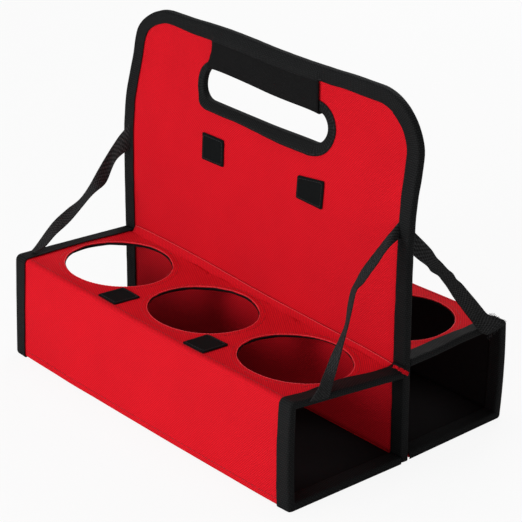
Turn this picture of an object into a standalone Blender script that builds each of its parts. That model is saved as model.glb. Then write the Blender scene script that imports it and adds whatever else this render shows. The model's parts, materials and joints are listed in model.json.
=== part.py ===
"""A folding fabric carrier for six cups.

One upright panel with a hand slot carries an open-ended box on each side.
Each box is a four-bar linkage of stiffened cloth walls: top, side and bottom.
Lifting a top folds its box flat against the panel, and two straps stop it when it stands square.
Every wall is a stiffener board between a cloth cover and a lining, with its cut ends bound in tape.

Metres, +Z up, +X along the carrier. The origin is on the floor under the middle of the panel.
"""

from math import cos, pi, sin

import bmesh
import bpy
from mathutils import Vector

# The carrier as a whole
carrier_length = 0.335
box_reach = 0.107
box_height = 0.082
panel_height = 0.280
panel_corner_radius = 0.043

# The panel's upper part leans back in three straight bands, gently at first and at last
panel_lean = 0.0074
panel_lean_drop = 0.094
panel_lean_rise = 0.060
lean_rise_shares = (0, 1 / 3, 2 / 3, 1)
lean_reach_shares = (0, 0.26, 0.74, 1)

# Cloth, boards and tape
cloth_thickness = 0.0005
tape_thickness = 0.0005
wall_board_thickness = 0.0020
panel_board_thickness = 0.0024
seam_gap = 0.0003
binding_width = 0.012
tape_nose_radius = 0.0010

# Cup holes, which share a top's length and fill its depth between margins
hole_inner_margin = 0.0082
hole_outer_margin = 0.0138
hole_row_margin = 0.00625
hole_places = (-1, 0, 1)

# Hand slot and handle sleeve
slot_length = 0.142
slot_height = 0.025
slot_drop = 0.0504
slot_binding_width = 0.0103
sleeve_thickness = 0.0010

# Touch-fastener patches
patch_thickness = 0.0012
top_patch_width = 0.025
top_patch_depth = 0.024
top_patch_setback = 0.0180
panel_patch_width = 0.027
panel_patch_height = 0.022
panel_patch_drop = 0.0486

# Folds of the cloth
fold_cloth_reach = 0.0092
seam_flange_height = 0.0050
fold_clearance = 0.0004
sweep_clearance = 0.0003

# Straps
strap_width = 0.015
strap_thickness = 0.0012
strap_sag = 0.007
strap_end_inset = 0.0078
strap_landing = 0.020
strap_landing_setback = 0.006
strap_free_share = 0.12
left_strap_height = 0.1570
right_strap_height = 0.1760

# Fineness of round shapes, in segments
hole_segments = 56
corner_segments = 14
slot_end_segments = 14
nose_segments = 3
shoulder_segments = 5
strap_segments = 26

cut_overrun = 0.010

# Sizes that follow from the ones above
half_length = carrier_length / 2
tape_rise = seam_gap + tape_thickness
wall_core = wall_board_thickness + 2 * (cloth_thickness + seam_gap)
wall_bound = wall_core + 2 * tape_rise
panel_core_half = panel_board_thickness / 2 + seam_gap + cloth_thickness
panel_bound_half = panel_core_half + tape_rise
core_half_length = half_length - tape_rise
between_bindings = half_length - binding_width - seam_gap

hole_radius = (box_reach - hole_inner_margin - hole_outer_margin) / 2
hole_centre_reach = hole_inner_margin + hole_radius
hole_pitch = (carrier_length - 2 * hole_row_margin) / len(hole_places)

# The slot's straight run, between its round ends, is also the sleeve's length.
slot_half_run = slot_length / 2 - slot_height / 2
slot_centre_height = panel_height - slot_drop
panel_lean_start = panel_height - panel_lean_drop

top_patch_centre_reach = box_reach - top_patch_setback
panel_patch_centre_height = slot_centre_height - panel_patch_drop

# Each wall is measured inwards from the face of its cover.
cover_top_z = box_height - tape_rise
cover_side_reach = box_reach - tape_rise
cover_bottom_z = tape_rise
lining_depth = wall_core - cloth_thickness
board_depth = cloth_thickness + seam_gap
# Cloth turns a board's corner at an even distance from it.
shoulder_radius = board_depth

# The linkage: how far out and how high its four pivots lie.
panel_patch_face = panel_core_half + seam_gap + patch_thickness
top_patch_rise = seam_gap + patch_thickness - tape_rise
pivot_reach = panel_patch_face + seam_gap + top_patch_rise
top_pivot_z = box_height
bottom_pivot_z = 2 * wall_bound + fold_clearance
link_length = (
    box_reach - wall_bound - pivot_reach - bottom_pivot_z - fold_clearance
)
outer_pivot_reach = pivot_reach + link_length

# The inner ends of top and bottom stop short of the panel's cloth.
inner_end_reach = panel_bound_half + fold_clearance
# The bottom's outer end turns inside the side wall without touching it.
turn_depth_core = bottom_pivot_z - cover_bottom_z
turn_room_core = cover_side_reach - wall_core - outer_pivot_reach - sweep_clearance
bottom_core_end = outer_pivot_reach + (turn_room_core**2 - turn_depth_core**2) ** 0.5
turn_room_bound = box_reach - wall_bound - outer_pivot_reach - sweep_clearance
bottom_bound_end = outer_pivot_reach + (turn_room_bound**2 - bottom_pivot_z**2) ** 0.5
# Its cover lies lowest, so it stops shortest to clear the side's tape, and the heel's cloth takes over.
bottom_cover_end = outer_pivot_reach + (turn_room_bound**2 - turn_depth_core**2) ** 0.5
side_top_z = box_height - wall_bound - seam_gap


def clear_scene():
    for thing in list(bpy.data.objects):
        bpy.data.objects.remove(thing, do_unlink=True)


def make_material(name, colour, roughness, metallic=0.0):
    material = bpy.data.materials.new(name)
    material.use_nodes = True
    shader = material.node_tree.nodes["Principled BSDF"]
    shader.inputs["Base Color"].default_value = (*colour, 1.0)
    shader.inputs["Roughness"].default_value = roughness
    shader.inputs["Metallic"].default_value = metallic
    material.diffuse_color = (*colour, 1.0)
    return material


clear_scene()
red_cloth = make_material("red_cloth", (0.68, 0.010, 0.022), 0.75)
black_cloth = make_material("black_cloth", (0.010, 0.009, 0.010), 0.80)
black_tape = make_material("black_tape", (0.014, 0.015, 0.016), 0.70)
black_webbing = make_material("black_webbing", (0.013, 0.013, 0.014), 0.75)
black_fastener = make_material("black_fastener", (0.008, 0.008, 0.009), 0.95)
grey_board = make_material("grey_board", (0.42, 0.41, 0.39), 0.85)


def arc(centre, radius, start, end, segments):
    """Points round part of a circle, from one angle to another, ends included."""
    angles = [start + (end - start) * step / segments for step in range(segments + 1)]
    return [(centre[0] + radius * cos(a), centre[1] + radius * sin(a)) for a in angles]


def add_object(name, mesh_maker, material, pivot):
    """A named object from a bmesh in world places, with its origin moved to its pivot."""
    mesh_maker.verts.ensure_lookup_table()
    bmesh.ops.recalc_face_normals(mesh_maker, faces=mesh_maker.faces)
    place = pivot.matrix_world.translation.copy()
    bmesh.ops.translate(mesh_maker, verts=mesh_maker.verts, vec=-place)
    mesh = bpy.data.meshes.new(name)
    mesh_maker.to_mesh(mesh)
    mesh_maker.free()
    mesh.materials.append(material)
    thing = bpy.data.objects.new(name, mesh)
    bpy.context.collection.objects.link(thing)
    thing.parent = pivot
    return thing


def add_pivot(name, place, parent=None):
    """An empty on a joint's axis, which carries the pieces that turn with it."""
    pivot = bpy.data.objects.new(name, None)
    bpy.context.collection.objects.link(pivot)
    pivot.parent = parent
    carried_at = parent.matrix_world.translation if parent else Vector()
    pivot.location = Vector(place) - carried_at
    bpy.context.view_layer.update()
    return pivot


def extruded(outline, low, high, to_world):
    """A bmesh prism: a flat outline carried from low to high and placed by to_world."""
    maker = bmesh.new()
    face = maker.faces.new([maker.verts.new(to_world(a, b, low)) for a, b in outline])
    grown = bmesh.ops.extrude_face_region(maker, geom=[face])
    moved = [v for v in grown["geom"] if isinstance(v, bmesh.types.BMVert)]
    shift = Vector(to_world(0, 0, high)) - Vector(to_world(0, 0, low))
    bmesh.ops.translate(maker, verts=moved, vec=shift)
    return maker


def swept(section, stations, closed=False):
    """A bmesh that joins copies of a section, each placed by its station's function."""
    maker = bmesh.new()
    rings = [[maker.verts.new(place(a, b)) for a, b in section] for place in stations]
    pairs = list(zip(rings, rings[1:]))
    if closed:
        pairs.append((rings[-1], rings[0]))
    else:
        maker.faces.new(rings[0][::-1])
        maker.faces.new(rings[-1])
    count = len(section)
    for first, second in pairs:
        for k in range(count):
            after = (k + 1) % count
            maker.faces.new((first[k], first[after], second[after], second[k]))
    return maker


def cut_with(thing, cutter):
    """A live Boolean cut, whose cutter is left out of renders."""
    cutter.hide_render = True
    cutter.display_type = "WIRE"
    cut = thing.modifiers.new("Opening", "BOOLEAN")
    cut.operation = "DIFFERENCE"
    cut.object = cutter


def folded_section(half_gap, width, thickness, nose):
    """The U of a band folded over an edge: across from the fold, and up through the wall."""
    outer_half = half_gap + thickness
    inner_nose = nose - thickness
    outside = [(width, outer_half)]
    outside += arc((nose, outer_half - nose), nose, pi / 2, pi, nose_segments)
    outside += arc((nose, nose - outer_half), nose, pi, 3 * pi / 2, nose_segments)
    outside += [(width, -outer_half)]
    inside = [(width, -half_gap)]
    inside += arc(
        (nose, inner_nose - half_gap), inner_nose, 3 * pi / 2, pi, nose_segments
    )
    inside += arc((nose, half_gap - inner_nose), inner_nose, pi, pi / 2, nose_segments)
    inside += [(width, half_gap)]
    return outside + inside


def tape_section(core_half, width):
    """The section of binding tape over a wall whose cloths lie core_half from its middle."""
    return folded_section(
        core_half + seam_gap, width, tape_thickness, tape_nose_radius
    )


# The upright panel


def panel_outline(inset, foot):
    """The panel's edge, drawn in by an inset, from a flat foot up round both top corners."""
    radius = panel_corner_radius - inset
    side = half_length - inset
    shoulder = half_length - panel_corner_radius
    crown = panel_height - panel_corner_radius
    right = arc((shoulder, crown), radius, 0, pi / 2, corner_segments)
    left = arc((-shoulder, crown), radius, pi / 2, pi, corner_segments)
    return [(-side, foot), (side, foot), *right, *left]


def slot_outline(grow):
    """The hand slot's round-ended outline, grown outwards all round."""
    radius = slot_height / 2 + grow
    right_end = (slot_half_run, slot_centre_height)
    left_end = (-slot_half_run, slot_centre_height)
    right = arc(right_end, radius, -pi / 2, pi / 2, slot_end_segments)
    left = arc(left_end, radius, pi / 2, 3 * pi / 2, slot_end_segments)
    return right + left


def upright(a, b, through):
    """A point of a drawing made on the panel: along, up, and through its thickness."""
    return (a, through, b)


def add_panel_layer(name, near_face, far_face, material, pivot, cutter):
    maker = extruded(panel_outline(tape_rise, 0), near_face, far_face, upright)
    lean_back(maker)
    layer = add_object(name, maker, material, pivot)
    cut_with(layer, cutter)


def lean_at(height):
    """How far back the panel leans at a height."""
    share = (height - panel_lean_start) / panel_lean_rise
    bands = list(zip(lean_rise_shares, lean_reach_shares))
    for (low, low_reach), (high, high_reach) in zip(bands, bands[1:]):
        if low < share <= high:
            part = (share - low) / (high - low)
            return panel_lean * (low_reach + (high_reach - low_reach) * part)
    return panel_lean if share > 0 else 0


def lean_back(maker):
    """Creases a piece of the panel at each band's level, and leans it back."""
    for share in lean_rise_shares:
        level = panel_lean_start + share * panel_lean_rise
        everything = maker.verts[:] + maker.edges[:] + maker.faces[:]
        bmesh.ops.bisect_plane(
            maker, geom=everything, plane_co=(0, 0, level), plane_no=(0, 0, 1)
        )
    for vert in maker.verts:
        vert.co.y += lean_at(vert.co.z)


def edge_stations(points, normals):
    """Places a tape section along the panel's edge, square to it."""

    def station(point, inward):
        return lambda a, b: (point[0] + a * inward[0], b, point[1] + a * inward[1])

    return [station(p, n) for p, n in zip(points, normals)]


def add_panel_edge_binding(pivot):
    """One length of tape up the left edge, over the top and down the right edge."""
    section = tape_section(panel_core_half, binding_width)
    shoulder = half_length - panel_corner_radius
    crown = panel_height - panel_corner_radius
    turns = [pi / 2 * step / corner_segments for step in range(corner_segments + 1)]
    foot = box_height + seam_gap
    points = [(half_length, foot)]
    normals = [(-1, 0)]
    for side, corner_turns in ((1, turns), (-1, turns[::-1])):
        for turn in corner_turns:
            out = (side * cos(turn), sin(turn))
            points.append(
                (
                    side * shoulder + panel_corner_radius * out[0],
                    crown + panel_corner_radius * out[1],
                )
            )
            normals.append((-out[0], -out[1]))
    points.append((-half_length, foot))
    normals.append((1, 0))
    maker = swept(section, edge_stations(points, normals))
    lean_back(maker)
    add_object("panel_edge_binding", maker, black_tape, pivot)


def add_panel_lower_binding(name, side, pivot):
    """The short tape on the panel's edge between the two boxes."""
    section = tape_section(panel_core_half, binding_width)
    points = [(side * half_length, 0), (side * half_length, box_height)]
    maker = swept(section, edge_stations(points, [(-side, 0)] * 2))
    add_object(name, maker, black_tape, pivot)


def add_slot_binding(pivot):
    """A closed loop of tape folded over the edge of the hand slot."""
    section = tape_section(panel_core_half, slot_binding_width)
    radius = slot_height / 2
    points, normals = [], []
    for side, first_turn in ((1, -pi / 2), (-1, pi / 2)):
        for step in range(slot_end_segments + 1):
            turn = first_turn + pi * step / slot_end_segments
            out = (cos(turn), sin(turn))
            points.append(
                (
                    side * slot_half_run + radius * out[0],
                    slot_centre_height + radius * out[1],
                )
            )
            normals.append(out)
    maker = swept(section, edge_stations(points, normals), closed=True)
    lean_back(maker)
    add_object("hand_slot_binding", maker, black_tape, pivot)


def add_handle_sleeve(pivot):
    """A padded sleeve that comes down one face, under the grip and up the other face."""
    low = slot_centre_height + slot_height / 2 - seam_gap - sleeve_thickness
    high = panel_height - binding_width - seam_gap
    section = folded_section(
        panel_bound_half + seam_gap,
        high - low,
        sleeve_thickness,
        tape_nose_radius + seam_gap + sleeve_thickness,
    )

    def across_panel(a, b, through):
        return (through, b, low + a)

    maker = extruded(section, -slot_half_run, slot_half_run, across_panel)
    lean_back(maker)
    add_object("handle_sleeve", maker, black_cloth, pivot)


def add_patch(name, x, y, z, size, pivot):
    """A flat square of touch fastener with its size along x, y and z."""
    maker = bmesh.new()
    bmesh.ops.create_cube(maker, size=1)
    bmesh.ops.scale(maker, verts=maker.verts, vec=size)
    bmesh.ops.translate(maker, verts=maker.verts, vec=(x, y, z))
    lean_back(maker)
    add_object(name, maker, black_fastener, pivot)


def build_panel(pivot):
    cutter_maker = extruded(
        slot_outline(tape_rise), -cut_overrun, cut_overrun + panel_lean, upright
    )
    cutter = add_object("slot_cutter", cutter_maker, grey_board, pivot)
    half_board = panel_board_thickness / 2
    cloth_inner = half_board + seam_gap
    add_panel_layer(
        "panel_board", -half_board, half_board, grey_board, pivot, cutter
    )
    add_panel_layer(
        "panel_near_cover", -panel_core_half, -cloth_inner, red_cloth, pivot, cutter
    )
    add_panel_layer(
        "panel_far_cover", cloth_inner, panel_core_half, red_cloth, pivot, cutter
    )
    add_panel_edge_binding(pivot)
    add_panel_lower_binding("panel_left_lower_binding", -1, pivot)
    add_panel_lower_binding("panel_right_lower_binding", 1, pivot)
    add_slot_binding(pivot)
    add_handle_sleeve(pivot)
    patch_reach = panel_core_half + seam_gap + patch_thickness / 2
    size = (panel_patch_width, patch_thickness, panel_patch_height)
    for face, out in (("near", -1), ("far", 1)):
        for hand, side in (("left", -1), ("right", 1)):
            add_patch(
                f"panel_{face}_{hand}_patch",
                side * hole_pitch / 2,
                out * patch_reach,
                panel_patch_centre_height,
                size,
                pivot,
            )


# One box: top, side and bottom walls. Out is -1 for the near box and 1 for the far one.


def along_box(out):
    """Places a drawing of the box's end, reach by height, at a distance along the carrier."""
    return lambda a, b, through: (through, out * a, b)


def add_wall_layer(name, reaches, heights, half, material, pivot, out, cutter=None):
    """A flat rectangular layer of a wall between two reaches and two heights."""
    corners = [
        (reaches[0], heights[0]),
        (reaches[1], heights[0]),
        (reaches[1], heights[1]),
        (reaches[0], heights[1]),
    ]
    layer = add_object(
        name, extruded(corners, -half, half, along_box(out)), material, pivot
    )
    if cutter:
        cut_with(layer, cutter)


def hole_cutter(name, out, pivot):
    """Three upright cylinders that cut the cup holes through a top's layers."""
    maker = bmesh.new()
    for place in hole_places:
        ring = bmesh.ops.create_cone(
            maker,
            cap_ends=True,
            segments=hole_segments,
            radius1=hole_radius,
            radius2=hole_radius,
            depth=2 * cut_overrun,
        )
        centre = (place * hole_pitch, out * hole_centre_reach, cover_top_z)
        bmesh.ops.translate(maker, verts=ring["verts"], vec=centre)
    return add_object(name, maker, grey_board, pivot)


def add_wall_bindings(prefix, start, end, across, pivot, out):
    """Tape over a wall's two cut ends, run between two points at the wall's middle.

    Start and end are (reach, height). Across is the direction through the wall.
    """
    section = tape_section(wall_core / 2, binding_width)
    for hand, side in (("left", -1), ("right", 1)):

        def station(point, side=side):
            def place(a, b):
                reach = point[0] + b * across[0]
                height = point[1] + b * across[1]
                return (side * (half_length - a), out * reach, height)

            return place

        maker = swept(section, [station(start), station(end)])
        add_object(f"{prefix}_{hand}_binding", maker, black_tape, pivot)


def bent_cloth(points, turn_centre, radius, start, name, pivot, out):
    """A cloth strip that runs straight to a rounded fold, turns a quarter and runs straight on."""
    outer = arc(turn_centre, radius, start, start - pi / 2, shoulder_segments)
    inner = arc(
        turn_centre, radius - cloth_thickness, start - pi / 2, start, shoulder_segments
    )
    outline = [points[0], *outer, points[1], points[2], *inner, points[3]]
    maker = extruded(
        outline, -between_bindings, between_bindings, along_box(out)
    )
    add_object(name, maker, red_cloth, pivot)


def add_shoulder_fold(name, pivot, out):
    """The cover's cloth where it turns from the top wall down the side wall."""
    top, side = cover_top_z, cover_side_reach
    bent_cloth(
        [
            (side - fold_cloth_reach, top),
            (side, top - fold_cloth_reach),
            (side - cloth_thickness, top - fold_cloth_reach),
            (side - fold_cloth_reach, top - cloth_thickness),
        ],
        (side - shoulder_radius, top - shoulder_radius),
        shoulder_radius,
        pi / 2,
        name,
        pivot,
        out,
    )


def add_heel_fold(name, pivot, out):
    """The cover's cloth where it turns from the side wall in under the bottom wall."""
    low, side = cover_bottom_z, cover_side_reach
    bent_cloth(
        [
            (side, low + fold_cloth_reach),
            (bottom_cover_end + seam_gap, low),
            (bottom_cover_end + seam_gap, low + cloth_thickness),
            (side - cloth_thickness, low + fold_cloth_reach),
        ],
        (side - shoulder_radius, low + shoulder_radius),
        shoulder_radius,
        0,
        name,
        pivot,
        out,
    )


def add_seam_fold(name, cover_z, inner_z, flange_top, pivot, out):
    """The cover's cloth where it leaves its wall and is sewn up the panel's face."""
    sewn = panel_core_half + seam_gap
    end = inner_end_reach + fold_cloth_reach
    low, high = sorted((cover_z, inner_z))
    outline = [
        (sewn, low),
        (end, low),
        (end, high),
        (sewn + cloth_thickness, high),
        (sewn + cloth_thickness, flange_top),
        (sewn, flange_top),
    ]
    maker = extruded(outline, -between_bindings, between_bindings, along_box(out))
    add_object(name, maker, red_cloth, pivot)


def add_strap(name, side, height, pivot, out):
    """A flat webbing strap from the panel's edge down to the outer corner of a top.

    It leaves the panel on edge, sags a little, and turns a quarter to land flat.
    """
    x = side * (half_length - strap_end_inset)
    start = Vector((x, out * (panel_bound_half + seam_gap), height))
    landed_z = box_height + seam_gap + strap_thickness / 2
    tip_reach = box_reach - strap_landing_setback
    landing = Vector((x, out * (tip_reach - strap_landing), landed_z))
    tip = Vector((x, out * tip_reach, landed_z))
    shares = [0.0]
    for step in range(strap_segments + 1):
        shares.append(strap_free_share + (1 - strap_free_share) * step / strap_segments)
    points = [start.lerp(landing, share) for share in shares]
    for point, share in zip(points, shares):
        # The sag fades towards the landing, so that the strap lies down smoothly.
        point.z -= strap_sag * sin(pi * share) * (1 - share)
    points.append(tip)
    shares.append(1.0)
    half_wide, half_thick = strap_width / 2, strap_thickness / 2
    section = [
        (-half_wide, -half_thick),
        (half_wide, -half_thick),
        (half_wide, half_thick),
        (-half_wide, half_thick),
    ]
    flat = Vector((1, 0, 0))
    stations = []
    for index, (point, share) in enumerate(zip(points, shares)):
        before = points[max(index - 1, 0)]
        after = points[min(index + 1, len(points) - 1)]
        tangent = (after - before).normalized()
        on_edge = flat.cross(tangent).normalized()
        turn = pi / 2 * share * share * (3 - 2 * share)
        wide = on_edge * cos(turn) + flat * sin(turn)
        thick = wide.cross(tangent).normalized()
        if index == 0:
            # The sewn end is cut upright, to lie along the panel's face.
            wide = Vector((0, 0, 1 / on_edge.z))

        def place(a, b, point=point, wide=wide, thick=thick):
            return point + wide * a + thick * b

        stations.append(place)
    add_object(name, swept(section, stations), black_webbing, pivot)


def build_box(face, out, panel_pivot):
    """The walls, folds, patches and straps of one box, on its three turning pivots."""
    top_pivot = add_pivot(
        f"{face}_top_pivot", (0, out * pivot_reach, top_pivot_z), panel_pivot
    )
    side_pivot = add_pivot(
        f"{face}_side_pivot", (0, out * outer_pivot_reach, top_pivot_z), top_pivot
    )
    bottom_pivot = add_pivot(
        f"{face}_bottom_pivot", (0, out * pivot_reach, bottom_pivot_z), panel_pivot
    )
    cutter = hole_cutter(f"{face}_hole_cutter", out, top_pivot)

    # Top wall: cover, board and lining, all cut by the cup holes.
    cloth_start = inner_end_reach + fold_cloth_reach + seam_gap
    shoulder_start = cover_side_reach - fold_cloth_reach - seam_gap
    board_end = cover_side_reach - board_depth
    add_wall_layer(
        f"{face}_top_cover",
        (cloth_start, shoulder_start),
        (cover_top_z - cloth_thickness, cover_top_z),
        core_half_length,
        red_cloth,
        top_pivot,
        out,
        cutter,
    )
    add_wall_layer(
        f"{face}_top_board",
        (inner_end_reach, board_end),
        (cover_top_z - lining_depth + seam_gap, cover_top_z - board_depth),
        core_half_length,
        grey_board,
        top_pivot,
        out,
        cutter,
    )
    add_wall_layer(
        f"{face}_top_lining",
        (inner_end_reach, board_end),
        (cover_top_z - wall_core, cover_top_z - lining_depth),
        core_half_length,
        black_cloth,
        top_pivot,
        out,
        cutter,
    )
    top_middle = cover_top_z - wall_core / 2
    add_wall_bindings(
        f"{face}_top",
        (inner_end_reach, top_middle),
        (box_reach, top_middle),
        (0, 1),
        top_pivot,
        out,
    )
    patch_z = cover_top_z + seam_gap + patch_thickness / 2
    for hand, side in (("left", -1), ("right", 1)):
        add_patch(
            f"{face}_top_{hand}_patch",
            side * hole_pitch / 2,
            out * top_patch_centre_reach,
            patch_z,
            (top_patch_width, top_patch_depth, patch_thickness),
            top_pivot,
        )

    # Side wall: hangs under the top's outer edge and stands on the floor.
    add_wall_layer(
        f"{face}_side_cover",
        (cover_side_reach - cloth_thickness, cover_side_reach),
        (
            cover_bottom_z + fold_cloth_reach + seam_gap,
            cover_top_z - fold_cloth_reach - seam_gap,
        ),
        core_half_length,
        red_cloth,
        side_pivot,
        out,
    )
    add_wall_layer(
        f"{face}_side_board",
        (cover_side_reach - lining_depth + seam_gap, cover_side_reach - board_depth),
        (cover_bottom_z + board_depth, side_top_z),
        core_half_length,
        grey_board,
        side_pivot,
        out,
    )
    add_wall_layer(
        f"{face}_side_lining",
        (cover_side_reach - wall_core, cover_side_reach - lining_depth),
        (cover_bottom_z + board_depth, side_top_z),
        core_half_length,
        black_cloth,
        side_pivot,
        out,
    )
    side_middle = cover_side_reach - wall_core / 2
    add_wall_bindings(
        f"{face}_side",
        (side_middle, 0),
        (side_middle, side_top_z),
        (1, 0),
        side_pivot,
        out,
    )

    # Bottom wall: lies on the floor between the panel and the side wall.
    add_wall_layer(
        f"{face}_bottom_cover",
        (cloth_start, bottom_cover_end),
        (cover_bottom_z, cover_bottom_z + cloth_thickness),
        core_half_length,
        red_cloth,
        bottom_pivot,
        out,
    )
    add_wall_layer(
        f"{face}_bottom_board",
        (inner_end_reach, bottom_core_end),
        (cover_bottom_z + board_depth, cover_bottom_z + lining_depth - seam_gap),
        core_half_length,
        grey_board,
        bottom_pivot,
        out,
    )
    add_wall_layer(
        f"{face}_bottom_lining",
        (inner_end_reach, bottom_core_end),
        (cover_bottom_z + lining_depth, cover_bottom_z + wall_core),
        core_half_length,
        black_cloth,
        bottom_pivot,
        out,
    )
    bottom_middle = cover_bottom_z + wall_core / 2
    add_wall_bindings(
        f"{face}_bottom",
        (inner_end_reach, bottom_middle),
        (bottom_bound_end, bottom_middle),
        (0, 1),
        bottom_pivot,
        out,
    )

    # Folds of the cover's cloth between the walls.
    add_seam_fold(
        f"{face}_top_seam_fold",
        cover_top_z,
        cover_top_z - cloth_thickness,
        box_height + seam_flange_height,
        panel_pivot,
        out,
    )
    add_seam_fold(
        f"{face}_bottom_seam_fold",
        cover_bottom_z,
        cover_bottom_z + cloth_thickness,
        seam_flange_height,
        panel_pivot,
        out,
    )
    add_shoulder_fold(f"{face}_shoulder_fold", top_pivot, out)
    add_heel_fold(f"{face}_heel_fold", bottom_pivot, out)
    add_strap(f"{face}_left_strap", -1, left_strap_height, panel_pivot, out)
    add_strap(f"{face}_right_strap", 1, right_strap_height, panel_pivot, out)


root = add_pivot("carrier_root", (0, 0, 0))
build_panel(root)
build_box("near", -1, root)
build_box("far", 1, root)
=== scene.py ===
# %% [markdown]
# # A folding cloth carrier for six cups
# The CAD frame holds the carrier's boards, folds and joints as plain solids. This lesson sews red cloth,
# black linings and black tape round them. Every piece is first a flat pattern, as a maker would cut it,
# and is then laid over the walls, so weave, seams and stitches run as on real cloth.

import json
from functools import partial
from itertools import product
from math import atan2, ceil, cos, pi, radians, sin, sqrt

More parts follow.
